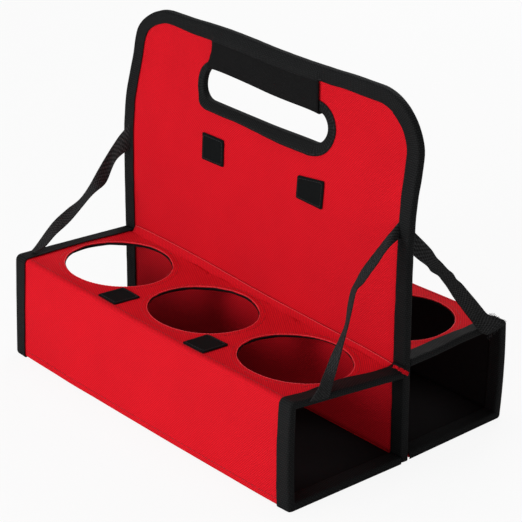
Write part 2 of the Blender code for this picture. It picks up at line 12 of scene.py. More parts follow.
import bmesh
import bpy
from mathutils import Matrix, Vector, noise
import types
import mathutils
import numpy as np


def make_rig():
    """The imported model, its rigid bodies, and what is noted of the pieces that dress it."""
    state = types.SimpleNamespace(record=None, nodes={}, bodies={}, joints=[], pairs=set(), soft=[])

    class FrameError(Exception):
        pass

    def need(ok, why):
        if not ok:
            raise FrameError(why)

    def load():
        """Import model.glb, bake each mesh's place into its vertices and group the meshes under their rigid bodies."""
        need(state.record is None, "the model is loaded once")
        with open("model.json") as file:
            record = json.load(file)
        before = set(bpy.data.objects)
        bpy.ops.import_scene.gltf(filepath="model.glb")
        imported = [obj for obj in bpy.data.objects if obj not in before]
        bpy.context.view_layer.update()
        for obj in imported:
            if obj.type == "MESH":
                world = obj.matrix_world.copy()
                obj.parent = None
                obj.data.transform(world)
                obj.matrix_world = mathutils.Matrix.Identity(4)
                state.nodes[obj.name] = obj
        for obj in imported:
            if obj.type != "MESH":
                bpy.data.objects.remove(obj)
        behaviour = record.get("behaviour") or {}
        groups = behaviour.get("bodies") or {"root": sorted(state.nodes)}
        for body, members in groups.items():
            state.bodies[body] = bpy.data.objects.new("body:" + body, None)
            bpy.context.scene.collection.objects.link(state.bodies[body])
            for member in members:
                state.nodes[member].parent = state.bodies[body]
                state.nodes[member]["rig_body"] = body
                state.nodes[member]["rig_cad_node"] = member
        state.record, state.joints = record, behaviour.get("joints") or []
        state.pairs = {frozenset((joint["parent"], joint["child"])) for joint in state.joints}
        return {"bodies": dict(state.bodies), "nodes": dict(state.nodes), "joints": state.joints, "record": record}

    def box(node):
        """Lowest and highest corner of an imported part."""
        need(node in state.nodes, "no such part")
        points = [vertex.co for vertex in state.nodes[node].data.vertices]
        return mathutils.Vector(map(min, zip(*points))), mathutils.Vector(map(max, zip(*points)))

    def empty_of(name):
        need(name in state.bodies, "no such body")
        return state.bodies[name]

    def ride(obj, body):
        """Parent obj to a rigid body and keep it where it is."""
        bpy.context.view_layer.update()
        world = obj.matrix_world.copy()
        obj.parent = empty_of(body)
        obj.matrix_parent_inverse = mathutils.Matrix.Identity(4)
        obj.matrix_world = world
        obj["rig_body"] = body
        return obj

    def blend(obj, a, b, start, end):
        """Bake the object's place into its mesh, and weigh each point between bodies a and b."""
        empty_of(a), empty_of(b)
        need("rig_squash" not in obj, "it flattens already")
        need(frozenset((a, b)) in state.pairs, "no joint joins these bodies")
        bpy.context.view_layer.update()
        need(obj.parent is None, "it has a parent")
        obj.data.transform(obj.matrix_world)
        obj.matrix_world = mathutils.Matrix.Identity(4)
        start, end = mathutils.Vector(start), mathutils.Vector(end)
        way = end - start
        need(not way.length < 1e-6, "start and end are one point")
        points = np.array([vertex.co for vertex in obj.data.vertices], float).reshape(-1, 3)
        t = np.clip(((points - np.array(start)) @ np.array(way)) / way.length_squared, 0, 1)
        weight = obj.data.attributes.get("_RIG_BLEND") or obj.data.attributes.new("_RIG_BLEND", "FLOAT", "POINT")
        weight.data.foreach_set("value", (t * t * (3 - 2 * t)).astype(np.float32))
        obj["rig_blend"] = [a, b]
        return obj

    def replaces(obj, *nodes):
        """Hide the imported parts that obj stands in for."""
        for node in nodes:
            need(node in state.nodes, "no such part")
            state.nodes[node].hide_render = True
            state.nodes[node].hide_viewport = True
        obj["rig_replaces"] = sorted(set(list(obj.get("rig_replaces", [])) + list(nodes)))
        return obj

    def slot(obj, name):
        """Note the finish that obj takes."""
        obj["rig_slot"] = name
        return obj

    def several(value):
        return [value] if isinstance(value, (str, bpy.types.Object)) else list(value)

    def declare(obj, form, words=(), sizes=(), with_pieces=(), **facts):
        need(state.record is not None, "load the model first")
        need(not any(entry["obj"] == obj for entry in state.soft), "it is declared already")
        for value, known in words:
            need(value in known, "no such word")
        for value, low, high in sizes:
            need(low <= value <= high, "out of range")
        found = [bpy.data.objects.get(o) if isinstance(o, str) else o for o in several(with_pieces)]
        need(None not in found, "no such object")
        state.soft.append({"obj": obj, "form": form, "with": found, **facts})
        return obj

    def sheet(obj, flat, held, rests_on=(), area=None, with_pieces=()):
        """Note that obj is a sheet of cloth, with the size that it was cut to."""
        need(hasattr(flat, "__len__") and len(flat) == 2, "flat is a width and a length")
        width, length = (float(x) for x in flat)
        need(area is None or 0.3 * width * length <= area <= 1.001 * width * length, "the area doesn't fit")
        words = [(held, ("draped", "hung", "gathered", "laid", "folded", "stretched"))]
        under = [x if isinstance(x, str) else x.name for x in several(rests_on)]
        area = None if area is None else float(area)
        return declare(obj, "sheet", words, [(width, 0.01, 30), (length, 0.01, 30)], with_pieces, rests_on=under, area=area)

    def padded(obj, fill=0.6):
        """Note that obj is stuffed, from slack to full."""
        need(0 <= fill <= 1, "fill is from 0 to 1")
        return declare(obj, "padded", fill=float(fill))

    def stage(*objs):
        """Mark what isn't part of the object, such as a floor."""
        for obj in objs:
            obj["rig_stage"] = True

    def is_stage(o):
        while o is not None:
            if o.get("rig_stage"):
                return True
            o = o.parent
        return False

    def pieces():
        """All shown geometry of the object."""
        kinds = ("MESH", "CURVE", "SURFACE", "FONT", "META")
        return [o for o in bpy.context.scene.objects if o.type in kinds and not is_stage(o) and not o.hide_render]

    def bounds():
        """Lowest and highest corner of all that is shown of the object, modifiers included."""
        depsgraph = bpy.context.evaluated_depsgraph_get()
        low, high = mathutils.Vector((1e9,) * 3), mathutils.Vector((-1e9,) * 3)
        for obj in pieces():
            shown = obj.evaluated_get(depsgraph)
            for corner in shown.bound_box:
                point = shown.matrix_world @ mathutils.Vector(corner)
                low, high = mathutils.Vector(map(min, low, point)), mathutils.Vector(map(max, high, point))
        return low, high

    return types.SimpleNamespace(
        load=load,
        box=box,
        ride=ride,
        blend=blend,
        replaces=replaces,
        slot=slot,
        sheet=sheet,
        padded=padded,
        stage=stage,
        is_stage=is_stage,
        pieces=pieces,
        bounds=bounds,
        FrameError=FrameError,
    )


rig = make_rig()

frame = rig.load()
cad_low, cad_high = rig.bounds()
print("CAD box in mm:", [round(1000 * c) for c in (*cad_low, *cad_high)])

# %% [markdown]
# ## Sizes
# The main sizes are read from the frame, so that the cloth fits the solids under it. Cut sizes, such as
# the cup holes', are named here, because a box round a solid can't give them.

# %% Sizes from the frame
mm = 0.001
half_length, box_reach, panel_height = cad_high
tape_low, tape_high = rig.box("near_top_left_binding")
box_height = tape_high.z
tape_width = tape_high.x - tape_low.x
wall_bound = min(tape_high.z - tape_low.z, 4.9 * mm)
panel_bound = -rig.box("panel_edge_binding")[0].y
slot_low, slot_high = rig.box("hand_slot_binding")
outward = {"near": -1, "far": 1}
hands = {"left": -1, "right": 1}

# %% Cut sizes of the cloth
cloth_thickness = 0.5 * mm
tape_thickness = 0.5 * mm
cover_depth = 0.8 * mm
board_depth = 1.6 * mm
board_thickness = 2.0 * mm
lining_depth = 3.9 * mm
panel_cover_reach = 2.0 * mm
panel_board_thickness = 2.4 * mm
hole_radius = 42.0 * mm
hole_pitch = 107.5 * mm
hole_centre_reach = 50.7 * mm
hole_places = (-1, 0, 1)
hole_pull = 2.5 * mm
hole_tuck = 1.2 * mm
hole_ease = 0.5 * mm
board_end_gap = 3.0 * mm
shoulder_radius = 4.2 * mm
heel_radius = 1.9 * mm
tightest_turn = 0.5 * mm
panel_corner_radius = 43 * mm
slot_band = 10.3 * mm
sleeve_half_length = 63.7 * mm
sleeve_shift = -3.6 * mm
inner_edge_reach = 6.2 * mm
stitch_ring = 4.3 * mm
lining_lift = 1.9 * mm
print("wall", round(wall_bound / mm, 1), "mm thick, tape", round(tape_width / mm), "mm wide")

# %% [markdown]
# ## The cloth's real set
# Sewn cloth never stands as straight as a drawing: here the panel leans back above the boxes, and the
# tops sag and drop where they meet it. One function moves all the pieces of a box, so seams that touch
# stay together. Each corner has its own small shift, and points between the corners share them.

# %% Shifts of a box's corners
# A shift is along, outwards and up, in millimetres. A row has low left, low right, high left and high
# right. The first row is beside the panel, and the second at the outer side.
corner_shifts = {
    "near": [
        (0, -2.2, 0), (1.5, -3.2, 0), (0, -2.2, -0.7), (0, -2.2, -8.8),
        (-0.5, 5.0, 0), (5.4, 6.4, 0), (-0.8, 2.2, 2.6), (0, 1.1, 0.3),
    ],
    "far": [
        (0, 2.2, 0), (0, 2.2, 0), (0, 2.2, -1.5), (0, 2.2, -0.8),
        (0, 0.2, 0), (-6.7, -0.8, 0), (0, 0.2, -0.5), (-4.0, -0.8, 1.2),
    ],
}
top_sag = 1.6 * mm
top_pull = 2.2 * mm
inner_rise = 4.6 * mm
shoulder_sag = {"near": (1.3 * mm, 3), "far": (3.0 * mm, 8)}
far_end_lift = 1.7 * mm
side_bulge = 1.6 * mm
heel_bulge = 2.8 * mm

# %% Shifts of the panel
panel_set_back = 2.2 * mm
panel_lean = 7.4 * mm
panel_ripple = 1.2 * mm
droop_start = 150 * mm
left_droop = Vector((7.2, 1.2, -7.4)) * mm
left_draw = 1.1 * mm
slot_top = slot_high.z - slot_band
slot_shift = 5.7 * mm
slot_rise = 0.9 * mm
slot_draw = 1.4 * mm
edge_swell = 1.5 * mm
grip_wave = 0.9 * mm

# Where each shift sets in and how much farther on it is whole, in millimetres. Below zero, it fades out.
lean_zone = (186, 60)
ripple_zone = (84, 40)
slot_zones = ((0, 55), (150, -65), (188, 16))
left_zones = ((262, -25), (190, -30))
swell_zones = ((155, 35), (285, -40))
grip_zones = ((222, 16), (115, -35))


# %% Functions that set the cloth
def eased(share):
    """A share from 0 to 1 that starts and ends gently."""
    share = min(max(share, 0.0), 1.0)
    return share * share * (3 - 2 * share)


def ramp(value, start, width):
    """From 0 at a start to 1 a width farther on, gently. Start and width are in millimetres."""
    return eased((value - start * mm) / (width * mm))


def hump(value, middle, spread):
    """A gentle hump from 0 to 1 about a middle. Middle and spread are in millimetres."""
    return eased(1 - abs(value - middle * mm) / (spread * mm))


def set_panel(point):
    """Leans a point of the panel back above the boxes, and lets its left shoulder droop."""
    x, side, z = point.x, abs(point.x), point.z
    left = min(max(0.5 - x / half_length / 2, 0), 1)
    sway = left * eased((z - droop_start) / (panel_height - droop_start))
    droop = left * eased((z - slot_top) / (panel_height - slot_top))
    ripple = panel_ripple * noise.noise(Vector((x * 13, 1.7, z * 4.5)))
    ripple *= ramp(half_length - side, 0, 50) * ramp(z, *ripple_zone)
    by_slot = ramp(side, *slot_zones[0]) * ramp(side, *slot_zones[1]) * ramp(z, *slot_zones[2])
    along = sway * left_droop.x
    if x < 0:
        along -= slot_shift * by_slot * ramp(z, *left_zones[0])
        along -= left_draw * left**2 * ramp(z, *left_zones[1])
        rise = 0.0
    else:
        along += edge_swell * (1 - left) ** 2 * ramp(z, *swell_zones[0]) * ramp(z, *swell_zones[1])
        along -= slot_draw * by_slot
        rise = slot_rise * by_slot * ramp(panel_height - z, 0, 16)
    on_grip = ramp(z, *grip_zones[0]) * ramp(side, *grip_zones[1])
    rise -= grip_wave * sin(pi * x / (100 * mm)) * on_grip * (1.6 if x < 0 else 1.0)
    back = panel_set_back + panel_lean * ramp(z, *lean_zone) + sway * left_droop.y + ripple
    return point + Vector((along, back, droop * left_droop.z + rise))


def set_box(point, face):
    """Moves a point of a box by its share of the corners' shifts, with the sag and the bulge."""
    out = outward[face]
    along = min(max(point.x / half_length / 2 + 0.5, 0), 1)
    outwards = min(max(abs(point.y) / box_reach, 0), 1)
    upwards = min(max(point.z / box_height, 0), 1)
    shift = Vector()
    for (outer, high, right), corner in zip(product((0, 1), repeat=3), corner_shifts[face]):
        weight = (outwards if outer else 1 - outwards) * (along if right else 1 - along)
        weight *= upwards if high else 1 - upwards
        shift += weight * Vector((corner[0], out * corner[1], corner[2])) * mm
    lengthways = 4 * along * (1 - along)
    inside = sqrt(max(4 * lengthways * outwards * (1 - outwards), 0)) * upwards**3
    shift.z -= top_sag * inside
    shift.x -= top_pull * inside
    shift.z += inner_rise * (1 - outwards) ** 14 * (1 - (2 * along - 1) ** 8) * upwards**3
    sag, sag_reach = shoulder_sag[face]
    shift.z -= sag * lengthways**2 * outwards**sag_reach * upwards**3
    shift.y += out * side_bulge * eased(along / 0.3 + 0.25) * 4 * upwards * (1 - upwards) * outwards**4
    if face == "near":
        shift.y += out * heel_bulge * sqrt(lengthways) * outwards**4 * (1 - upwards) ** 2
    else:
        across = eased((outwards - 0.25) / 0.35) * eased((1 - outwards) / 0.15)
        shift.z += far_end_lift * along**12 * across * upwards**6
    return point + shift


# %% [markdown]
# ## From a flat pattern to a wall
# A box's cloth runs in one strip: out along the top, over the shoulder, down the side, round the heel
# and back under the bottom. A point of the pattern is its place along the carrier, its run along that
# strip and its depth under the tape's outer face.

# %% Lay a point on a box's walls
shoulder_start = box_reach - shoulder_radius
shoulder_end = shoulder_start + shoulder_radius * pi / 2
heel_start = shoulder_end + box_height - shoulder_radius - heel_radius
heel_end = heel_start + heel_radius * pi / 2
heel_middle = (heel_start + heel_end) / 2
bottom_end = heel_end + box_reach - heel_radius - 5.6 * mm
pinch_share = 0.88
pinch_run = 45 * mm


def pinched(x, run, depth, face):
    """The near top is pressed thin by its seam where it is low, which leaves the folding bottom room."""
    if face == "far" or depth < cover_depth or run > pinch_run:
        return depth
    pinch = pinch_share * ramp(x, 50, 80) * min((pinch_run - run) / (40 * mm), 1)
    pinch *= ramp(half_length - 9 * mm - x, 0, 5)
    return cover_depth + (depth - cover_depth) * (1 - pinch)


def lay_on_box(x, run, depth, face):
    """The place of a pattern point on a box, once it has settled."""
    depth = pinched(x, run, depth, face)
    shoulder = max(shoulder_radius - depth, tightest_turn)
    heel = max(heel_radius - depth, tightest_turn)
    shoulder_reach, shoulder_height = box_reach - depth - shoulder, box_height - depth - shoulder
    heel_reach, heel_height = box_reach - depth - heel, depth + heel
    if run < shoulder_start:
        reach, height = run * shoulder_reach / shoulder_start, box_height - depth
    elif run < shoulder_end:
        turn = (run - shoulder_start) / shoulder_radius
        reach, height = shoulder_reach + shoulder * sin(turn), shoulder_height + shoulder * cos(turn)
    elif run < heel_start:
        share = (run - shoulder_end) / (heel_start - shoulder_end)
        reach, height = box_reach - depth, shoulder_height + share * (heel_height - shoulder_height)
    elif run < heel_end:
        turn = (run - heel_start) / heel_radius
        reach, height = heel_reach + heel * cos(turn), heel_height - heel * sin(turn)
    else:
        reach, height = heel_reach * (1 - (run - heel_end) / (box_reach - heel_radius)), depth
    return set_box(Vector((x, outward[face] * reach, height)), face)


print("the strip's run from panel to heel:", round(heel_end / mm), "mm")

# %% Make an object from a mesh
slots = {"sleeve_cloth": "black_cloth", "fastener_pile": "black_fastener"}


def finish_piece(name, maker, material, smooth=True):
    """A named object whose place is all in its mesh."""
    mesh = bpy.data.meshes.new(name)
    maker.to_mesh(mesh)
    maker.free()
    mesh.materials.append(material)
    for face in mesh.polygons:
        face.use_smooth = smooth
    piece = bpy.data.objects.new(name, mesh)
    bpy.context.scene.collection.objects.link(piece)
    return piece


def rides(body):
    """A function that makes a piece ride on a body."""
    return partial(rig.ride, body=body)


def sew(name, maker, material, follow, nodes=(), thickness=cloth_thickness, offset=-1.0, bevel=0, even=True):
    """Gives a laid sheet its thickness, inwards from its outer face, and ties it to the frame.

    Follow makes it move with its walls. Nodes are the frame's solids that it takes the place of.
    """
    piece = finish_piece(name, maker, material)
    wall = piece.modifiers.new("Cloth thickness", "SOLIDIFY")
    wall.thickness, wall.offset, wall.use_even_offset = thickness, offset, even
    if bevel:
        edge = piece.modifiers.new("Soft edge", "BEVEL")
        edge.width, edge.segments = bevel, 2
    follow(piece)
    if nodes:
        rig.replaces(piece, *nodes)
    kind = material.name.split(".")[0]
    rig.slot(piece, slots.get(kind, kind))
    return piece


# %% Cut a flat pattern and lay it down
def mark_pattern(maker):
    """Writes each corner's place in the flat pattern, in metres, for the weave to follow."""
    pattern = maker.loops.layers.uv.new("Pattern")
    for face in maker.faces:
        for corner in face.loops:
            corner[pattern].uv = corner.vert.co.xy


def flat_strip(width, length, cell):
    """A flat rectangle of cloth from (0, 0) to (width, length), in cells of about one size."""
    maker = bmesh.new()
    across, along = max(1, ceil(width / cell[0])), max(1, ceil(length / cell[1]))
    bmesh.ops.create_grid(maker, x_segments=across, y_segments=along, size=0.5)
    bmesh.ops.translate(maker, verts=maker.verts, vec=(0.5, 0.5, 0))
    bmesh.ops.scale(maker, verts=maker.verts, vec=(width, length, 1))
    mark_pattern(maker)
    return maker


def lay_down(maker, place, flip=False):
    """Moves each point of a flat pattern to its place on the carrier."""
    for vert in maker.verts:
        vert.co = place(vert.co.x, vert.co.y)
    if flip:
        bmesh.ops.reverse_faces(maker, faces=maker.faces)


# %% [markdown]
# ## Cloth, tape and webbing
# Each material is a weave drawn on the flat pattern in real millimetres. The heights of its threads
# drive a bump and darken the valleys between them, which is painted shade. A slow noise varies the colour, as dye
# does.


# %% Node helpers
def new_material(name):
    material = bpy.data.materials.new(name)
    material.use_nodes = True
    return material, material.node_tree, material.node_tree.nodes["Principled BSDF"]


def add_node(tree, kind, sockets=None, **settings):
    """A node with its settings, whose sockets take numbers or other nodes' outputs."""
    made = tree.nodes.new(kind)
    for key, value in settings.items():
        setattr(made, key, value)
    for key, value in (sockets or {}).items():
        if isinstance(value, bpy.types.NodeSocket):
            tree.links.new(value, made.inputs[key])
        else:
            made.inputs[key].default_value = value
    return made


def maths(tree, operation, *values):
    return add_node(tree, "ShaderNodeMath", dict(enumerate(values)), operation=operation).outputs[0]


def pattern_axes(tree):
    """Across and along the flat pattern, in metres."""
    place = add_node(tree, "ShaderNodeUVMap", uv_map="Pattern").outputs["UV"]
    split = add_node(tree, "ShaderNodeSeparateXYZ", {"Vector": place})
    return split.outputs["X"], split.outputs["Y"]


def wave(tree, axis, pitch):
    """A sine along one axis that repeats at the pitch."""
    return maths(tree, "SINE", maths(tree, "MULTIPLY", axis, 2 * pi / pitch))


def slow_noise(tree, scale, detail=2.0):
    place = add_node(tree, "ShaderNodeTexCoord").outputs["Object"]
    sockets = {"Vector": place, "Scale": scale, "Detail": detail}
    return add_node(tree, "ShaderNodeTexNoise", sockets).outputs["Fac"]


def graded(tree, share, low, high):
    """A share from 0 to 1 turned into a value between low and high."""
    sockets = {"Value": share, "To Min": low, "To Max": high}
    return add_node(tree, "ShaderNodeMapRange", sockets).outputs["Result"]


def tinted(tree, colour, shade):
    """A colour made lighter or darker by a factor."""
    sockets = {0: colour, "Scale": shade}
    return add_node(tree, "ShaderNodeVectorMath", sockets, operation="SCALE").outputs["Vector"]


def woven_finish(name, colour, height, shades, bump, rough, rumple=0.0):
    """Finishes a cloth whose thread heights are drawn by a function of its tree.

    Shades are the painted shade of the valleys between threads and the low end of the slow noise's dye variation. Bump
    is a strength and a height in millimetres.
    """
    material, tree, shader = new_material(name)
    threads = height(tree)
    slow = graded(tree, slow_noise(tree, 28.0), shades[1], 2 - shades[1])
    # Valleys between threads are darkened: painted shade, and the lighter thread crowns stand in for their highlights.
    shade = maths(tree, "MULTIPLY", graded(tree, threads, shades[0], 1.0), slow)
    tree.links.new(tinted(tree, colour, shade), shader.inputs["Base Color"])
    sockets = {"Height": threads, "Strength": bump[0], "Distance": bump[1] * mm}
    normal = add_node(tree, "ShaderNodeBump", sockets).outputs["Normal"]
    if rumple:
        sockets = {"Height": slow_noise(tree, 34.0, 3.0), "Strength": rumple, "Distance": 3 * mm}
        normal = add_node(tree, "ShaderNodeBump", {**sockets, "Normal": normal}).outputs["Normal"]
    tree.links.new(normal, shader.inputs["Normal"])
    shader.inputs["Roughness"].default_value = rough
    shader.inputs["Specular IOR Level"].default_value = 0.08
    material.diffuse_color = (*colour, 1.0)
    return material


# %% Weaves, in thread heights from 0 to 1
cloth_pitch = 1.9 * mm
lining_pitch = 1.2 * mm
rib_pitch = 1.7 * mm
webbing_pitch = 3.0 * mm


def crossed(tree, across_pitch, along_pitch):
    """Small mounds in a chequer, where threads pass over one another."""
    across, along = pattern_axes(tree)
    mounds = maths(tree, "MULTIPLY", wave(tree, across, across_pitch), wave(tree, along, along_pitch))
    return maths(tree, "MULTIPLY_ADD", mounds, 0.5, 0.5)


def plain_weave(pitch):
    return lambda tree: crossed(tree, pitch, pitch)


def ribbed(tree):
    """Ribs that run across the tape, broken up by the threads that run along it."""
    ribs = maths(tree, "MULTIPLY_ADD", wave(tree, pattern_axes(tree)[1], rib_pitch), 0.5, 0.5)
    return maths(tree, "MULTIPLY", ribs, crossed(tree, rib_pitch, 2 * rib_pitch))


def flat_webbing(tree):
    """A coarse weave of raised dots, each of many fine fibres."""
    dots, fibres = crossed(tree, webbing_pitch, webbing_pitch), slow_noise(tree, 900.0, 1.0)
    return graded(tree, maths(tree, "MULTIPLY", dots, maths(tree, "MULTIPLY", fibres, 1.7)), 0.0, 1.0)


def piled(tree):
    """The dense, uneven pile of a touch fastener."""
    return slow_noise(tree, 1400.0, 2.0)


# %% [markdown]
# The plain red of the cloth is strong and slightly cool. The blacks differ: the tape is a little
# lighter and shows its ribs, the lining is nearly without shine, and the fastener swallows light.

# %% Materials of the carrier
red = (0.83, 0.0085, 0.0197)
lining_black = (0.0062, 0.0055, 0.0060)
sleeve_black = (0.0068, 0.0068, 0.0070)
tape_black = (0.0200, 0.0208, 0.0215)
webbing_black = (0.043, 0.043, 0.044)
pile_black = (0.0062, 0.0074, 0.0077)
canvas, lining_weave = plain_weave(cloth_pitch), plain_weave(lining_pitch)
# The first of each material's shades is the painted shade in the valleys between its threads.
red_cloth = woven_finish("red_cloth", red, canvas, (0.42, 0.93), (0.6, 0.30), 0.9, 0.2)
black_cloth = woven_finish("black_cloth", lining_black, lining_weave, (0.70, 0.85), (0.40, 0.2), 0.85, 0.25)
sleeve_cloth = woven_finish("sleeve_cloth", sleeve_black, canvas, (0.65, 0.85), (0.60, 0.3), 0.8, 0.20)
black_tape = woven_finish("black_tape", tape_black, ribbed, (0.22, 0.80), (0.85, 0.35), 0.7, 0.20)
black_webbing = woven_finish("black_webbing", webbing_black, flat_webbing, (0.03, 0.85), (0.90, 0.4), 0.7)
fastener_pile = woven_finish("fastener_pile", pile_black, piled, (0.55, 0.90), (0.80, 0.5), 0.95)
grey_board = woven_finish("grey_board", (0.30, 0.29, 0.27), piled, (0.92, 0.95), (0.10, 0.1), 0.85)


def thread_finish(name, colour):
    material, tree, shader = new_material(name)
    shade = graded(tree, slow_noise(tree, 900.0), 0.7, 1.2)
    tree.links.new(tinted(tree, colour, shade), shader.inputs["Base Color"])
    shader.inputs["Roughness"].default_value = 0.6
    shader.inputs["Specular IOR Level"].default_value = 0.3
    return material


# The stitch thread is darker than the cloth: painted shade of the stitch dimples.
red_thread = thread_finish("red_thread", (0.36, 0.005, 0.011))
# Light red threads on the hole rims and the seam's ridge: a painted highlight.
edge_fibres = thread_finish("edge_fibres", (0.88, 0.055, 0.07))
black_thread = thread_finish("black_thread", (0.010, 0.010, 0.011))
print("materials:", len(bpy.data.materials))

# %% [markdown]
# ## Stitches
# A stitch is a thin six-sided rod with tapered ends. A row is laid by the same function as the cloth
# under it, so it follows every dip of the cloth and bends with it.

# %% Rows of stitches
stitch_length = 2.6 * mm
stitch_pitch = 3.5 * mm
thread_radius = 0.32 * mm
rod_parts = ((0.0, 0.3, 0.45, 1.0), (0.3, 0.7, 1.0, 1.0), (0.7, 1.0, 1.0, 0.45))


def add_rod(maker, start, end, radius):
    """A thread from start to end, thinner where it goes into the cloth."""
    run = end - start
    turn = run.to_track_quat("Z", "Y").to_matrix().to_4x4()
    for near, far, first, last in rod_parts:
        bmesh.ops.create_cone(
            maker,
            cap_ends=first < 1 or last < 1,
            segments=6,
            radius1=radius * first,
            radius2=radius * last,
            depth=run.length * (far - near),
            matrix=Matrix.Translation(start + run * (near + far) / 2) @ turn,
        )


def sew_row(name, spot, length, material, follow, pitch=stitch_pitch):
    """A row of stitches. Spot gives the place of a distance along the row."""
    maker = bmesh.new()
    count = max(1, int(length / pitch))
    for k in range(count):
        start = (k + 0.15) * length / count
        add_rod(maker, spot(start), spot(start + stitch_length * length / count / pitch), thread_radius)
    follow(finish_piece(name, maker, material))


# %% [markdown]
# ## The outer cloth of a box
# One length of red cloth covers a top, turns over the shoulder and hangs down the side. Each of its cup
# holes starts as a circle whose edges are extruded outwards in rings until they reach a square patch.
# The patches join, and the sheet's outer edge is extruded on. A Boolean would leave ragged faces.

# %% A flat sheet with cup holes
patch_side_steps = 24
patch_rings = 7
cloth_cell = 4 * mm
fold_cell = 1.2 * mm
cloth_half_length = half_length - cover_depth


def square_point(step, low, high):
    """A point on a rectangle's edge for each step round it, starting at a corner."""
    side, rest = divmod(step, patch_side_steps)
    corners = [(low[0], low[1]), (high[0], low[1]), (high[0], high[1]), (low[0], high[1])]
    start, end = (Vector((*corners[k % 4], 0)) for k in (side, side + 1))
    return start.lerp(end, rest / patch_side_steps)


def extrude_rim(maker, edges):
    """Extrudes a rim of edges, and gives the new rim's points and edges."""
    grown = bmesh.ops.extrude_edge_only(maker, edges=edges)["geom"]
    points = {g for g in grown if isinstance(g, bmesh.types.BMVert)}
    rim = [e for e in maker.edges if e.is_boundary and e.verts[0] in points and e.verts[1] in points]
    return points, rim


def hole_stretch(turn):
    """How much wider a hole is in a direction: the cloth is pulled along, and gathered at the panel."""
    return hole_pull * cos(2 * (turn - radians(8))) + hole_tuck * cos(turn - radians(125)) + hole_ease


def round_hole(turn, radius, middle):
    """A flat point round the hole whose middle is given, at a radius that is pulled as the hole is."""
    reach = radius + hole_stretch(turn)
    return middle + reach * cos(turn), hole_centre_reach + reach * sin(turn)


def add_holed_patch(maker, middle, radius, inner, outer):
    """A square patch of cloth round one hole, grown from the hole's edge in rings."""
    steps = 4 * patch_side_steps
    low, high = (middle - hole_pitch / 2, inner), (middle + hole_pitch / 2, outer)
    turns = [-3 * pi / 4 + 2 * pi * step / steps for step in range(steps)]
    circle = [Vector((*round_hole(turn, radius, middle), 0)) for turn in turns]
    ring = bmesh.ops.create_circle(maker, segments=steps, radius=radius)["verts"]
    around = {vert: step for step, vert in enumerate(ring)}
    for vert, step in around.items():
        vert.co = circle[step]
    edges = [e for e in maker.edges if e.verts[0] in around]
    for ring_number in range(1, patch_rings + 1):
        share = (ring_number / patch_rings) ** 1.25
        points, edges = extrude_rim(maker, edges)
        grown = {}
        for vert in points:
            step = next(around[e.other_vert(vert)] for e in vert.link_edges if e.other_vert(vert) in around)
            vert.co = circle[step].lerp(square_point(step, low, high), share)
            grown[vert] = step
        around = grown


def beyond_hole(x, run):
    """How far a pattern point lies outside the nearest cup hole's edge."""
    nearest = min(hole_places, key=lambda place: abs(x - place * hole_pitch))
    across, out = x - nearest * hole_pitch, run - hole_centre_reach
    return sqrt(across**2 + out**2) - hole_radius - hole_stretch(atan2(out, across))


def fray_holes(maker, amount):
    """Makes a cut hole's edge slightly uneven, as scissors and wear leave it."""
    for vert in [v for v in maker.verts if v.is_boundary and beyond_hole(*v.co.xy) < 1 * mm]:
        middle = Vector((round(vert.co.x / hole_pitch) * hole_pitch, hole_centre_reach, 0))
        rough = noise.noise(vert.co * 120) + 0.6 * noise.noise(vert.co * 420)
        vert.co = middle + (vert.co - middle) * (1 + amount * rough / hole_radius)


def grow_edge(maker, axis, value, targets):
    """Extrudes the sheet's straight edge that lies at a value of an axis, to each target in turn."""
    edges = [e for e in maker.edges if e.is_boundary and all(abs(v.co[axis] - value) < 1e-6 for v in e.verts)]
    for target in targets:
        points, edges = extrude_rim(maker, edges)
        for vert in points:
            vert.co[axis] = target


def steps_between(start, end, size):
    count = max(1, ceil(abs(end - start) / size))
    return [start + (end - start) * k / count for k in range(1, count + 1)]


def face_up(maker):
    bmesh.ops.recalc_face_normals(maker, faces=maker.faces)
    if maker.faces[:][0].normal.z < 0:
        bmesh.ops.reverse_faces(maker, faces=maker.faces)


def holed_sheet(inner, outer, radius):
    """A flat top with three holes, from its inner to its outer edge."""
    maker = bmesh.new()
    for place in hole_places:
        add_holed_patch(maker, place * hole_pitch, radius, inner, outer)
    bmesh.ops.remove_doubles(maker, verts=maker.verts, dist=0.05 * mm)
    for side in (-1, 1):
        row_end = side * len(hole_places) * hole_pitch / 2
        grow_edge(maker, 0, row_end, steps_between(row_end, side * cloth_half_length, cloth_cell))
    face_up(maker)
    return maker


# %% Sew the outer cloth on both boxes
fold_lead = 11 * mm
top_end = shoulder_start - 2 * mm
side_start = shoulder_end + 2 * mm
over_and_down = steps_between(top_end, side_start, fold_cell)
over_and_down += steps_between(side_start, heel_start, cloth_cell)
holes_area = len(hole_places) * pi * (hole_radius + hole_ease) ** 2


def bends(face):
    """A function that makes a piece bend over the shoulder of a box."""
    out = outward[face]
    start = (0, out * (box_reach - fold_lead), box_height)
    end = (0, out * box_reach, box_height - fold_lead)
    return lambda piece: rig.blend(piece, f"{face}_top", f"{face}_side", start=start, end=end)


def crease(x, run):
    """How deep the cloth dips: along the seam beside the panel, round the holes, and in slow unevenness."""
    beside = 0.5 * mm * (1 - ramp(run, 6, 6)) * noise.noise(Vector((x * 24, run * 300, 1.0)))
    slow = 0.45 * mm * noise.noise(Vector((x * 17, run * 26, 2.0)))
    edge = eased(run / (5 * mm) - 1.2) * ramp(half_length - abs(x), 0, 14)
    rim = beyond_hole(x, run)
    welt = 0.45 * mm * sin(pi * min(rim / stitch_ring, 1.0)) if rim > 0 else 0.0
    pucker = 0.3 * mm * hump(rim, stitch_ring / mm, 2.5)
    pucker *= 0.6 + noise.noise(Vector((x * 110, run * 110, 4.0)))
    return (beside + slow) * edge - welt + pucker


def on_cloth(x, run, face, lift=0.0):
    return lay_on_box(x, run, cover_depth + crease(x, run) - lift, face)


def declare_holed(piece, run):
    """Declares a sheet with three holes that is as long as the box, by its run."""
    size = (2 * cloth_half_length, run)
    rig.sheet(piece, flat=size, held="stretched", area=size[0] * size[1] - holes_area)


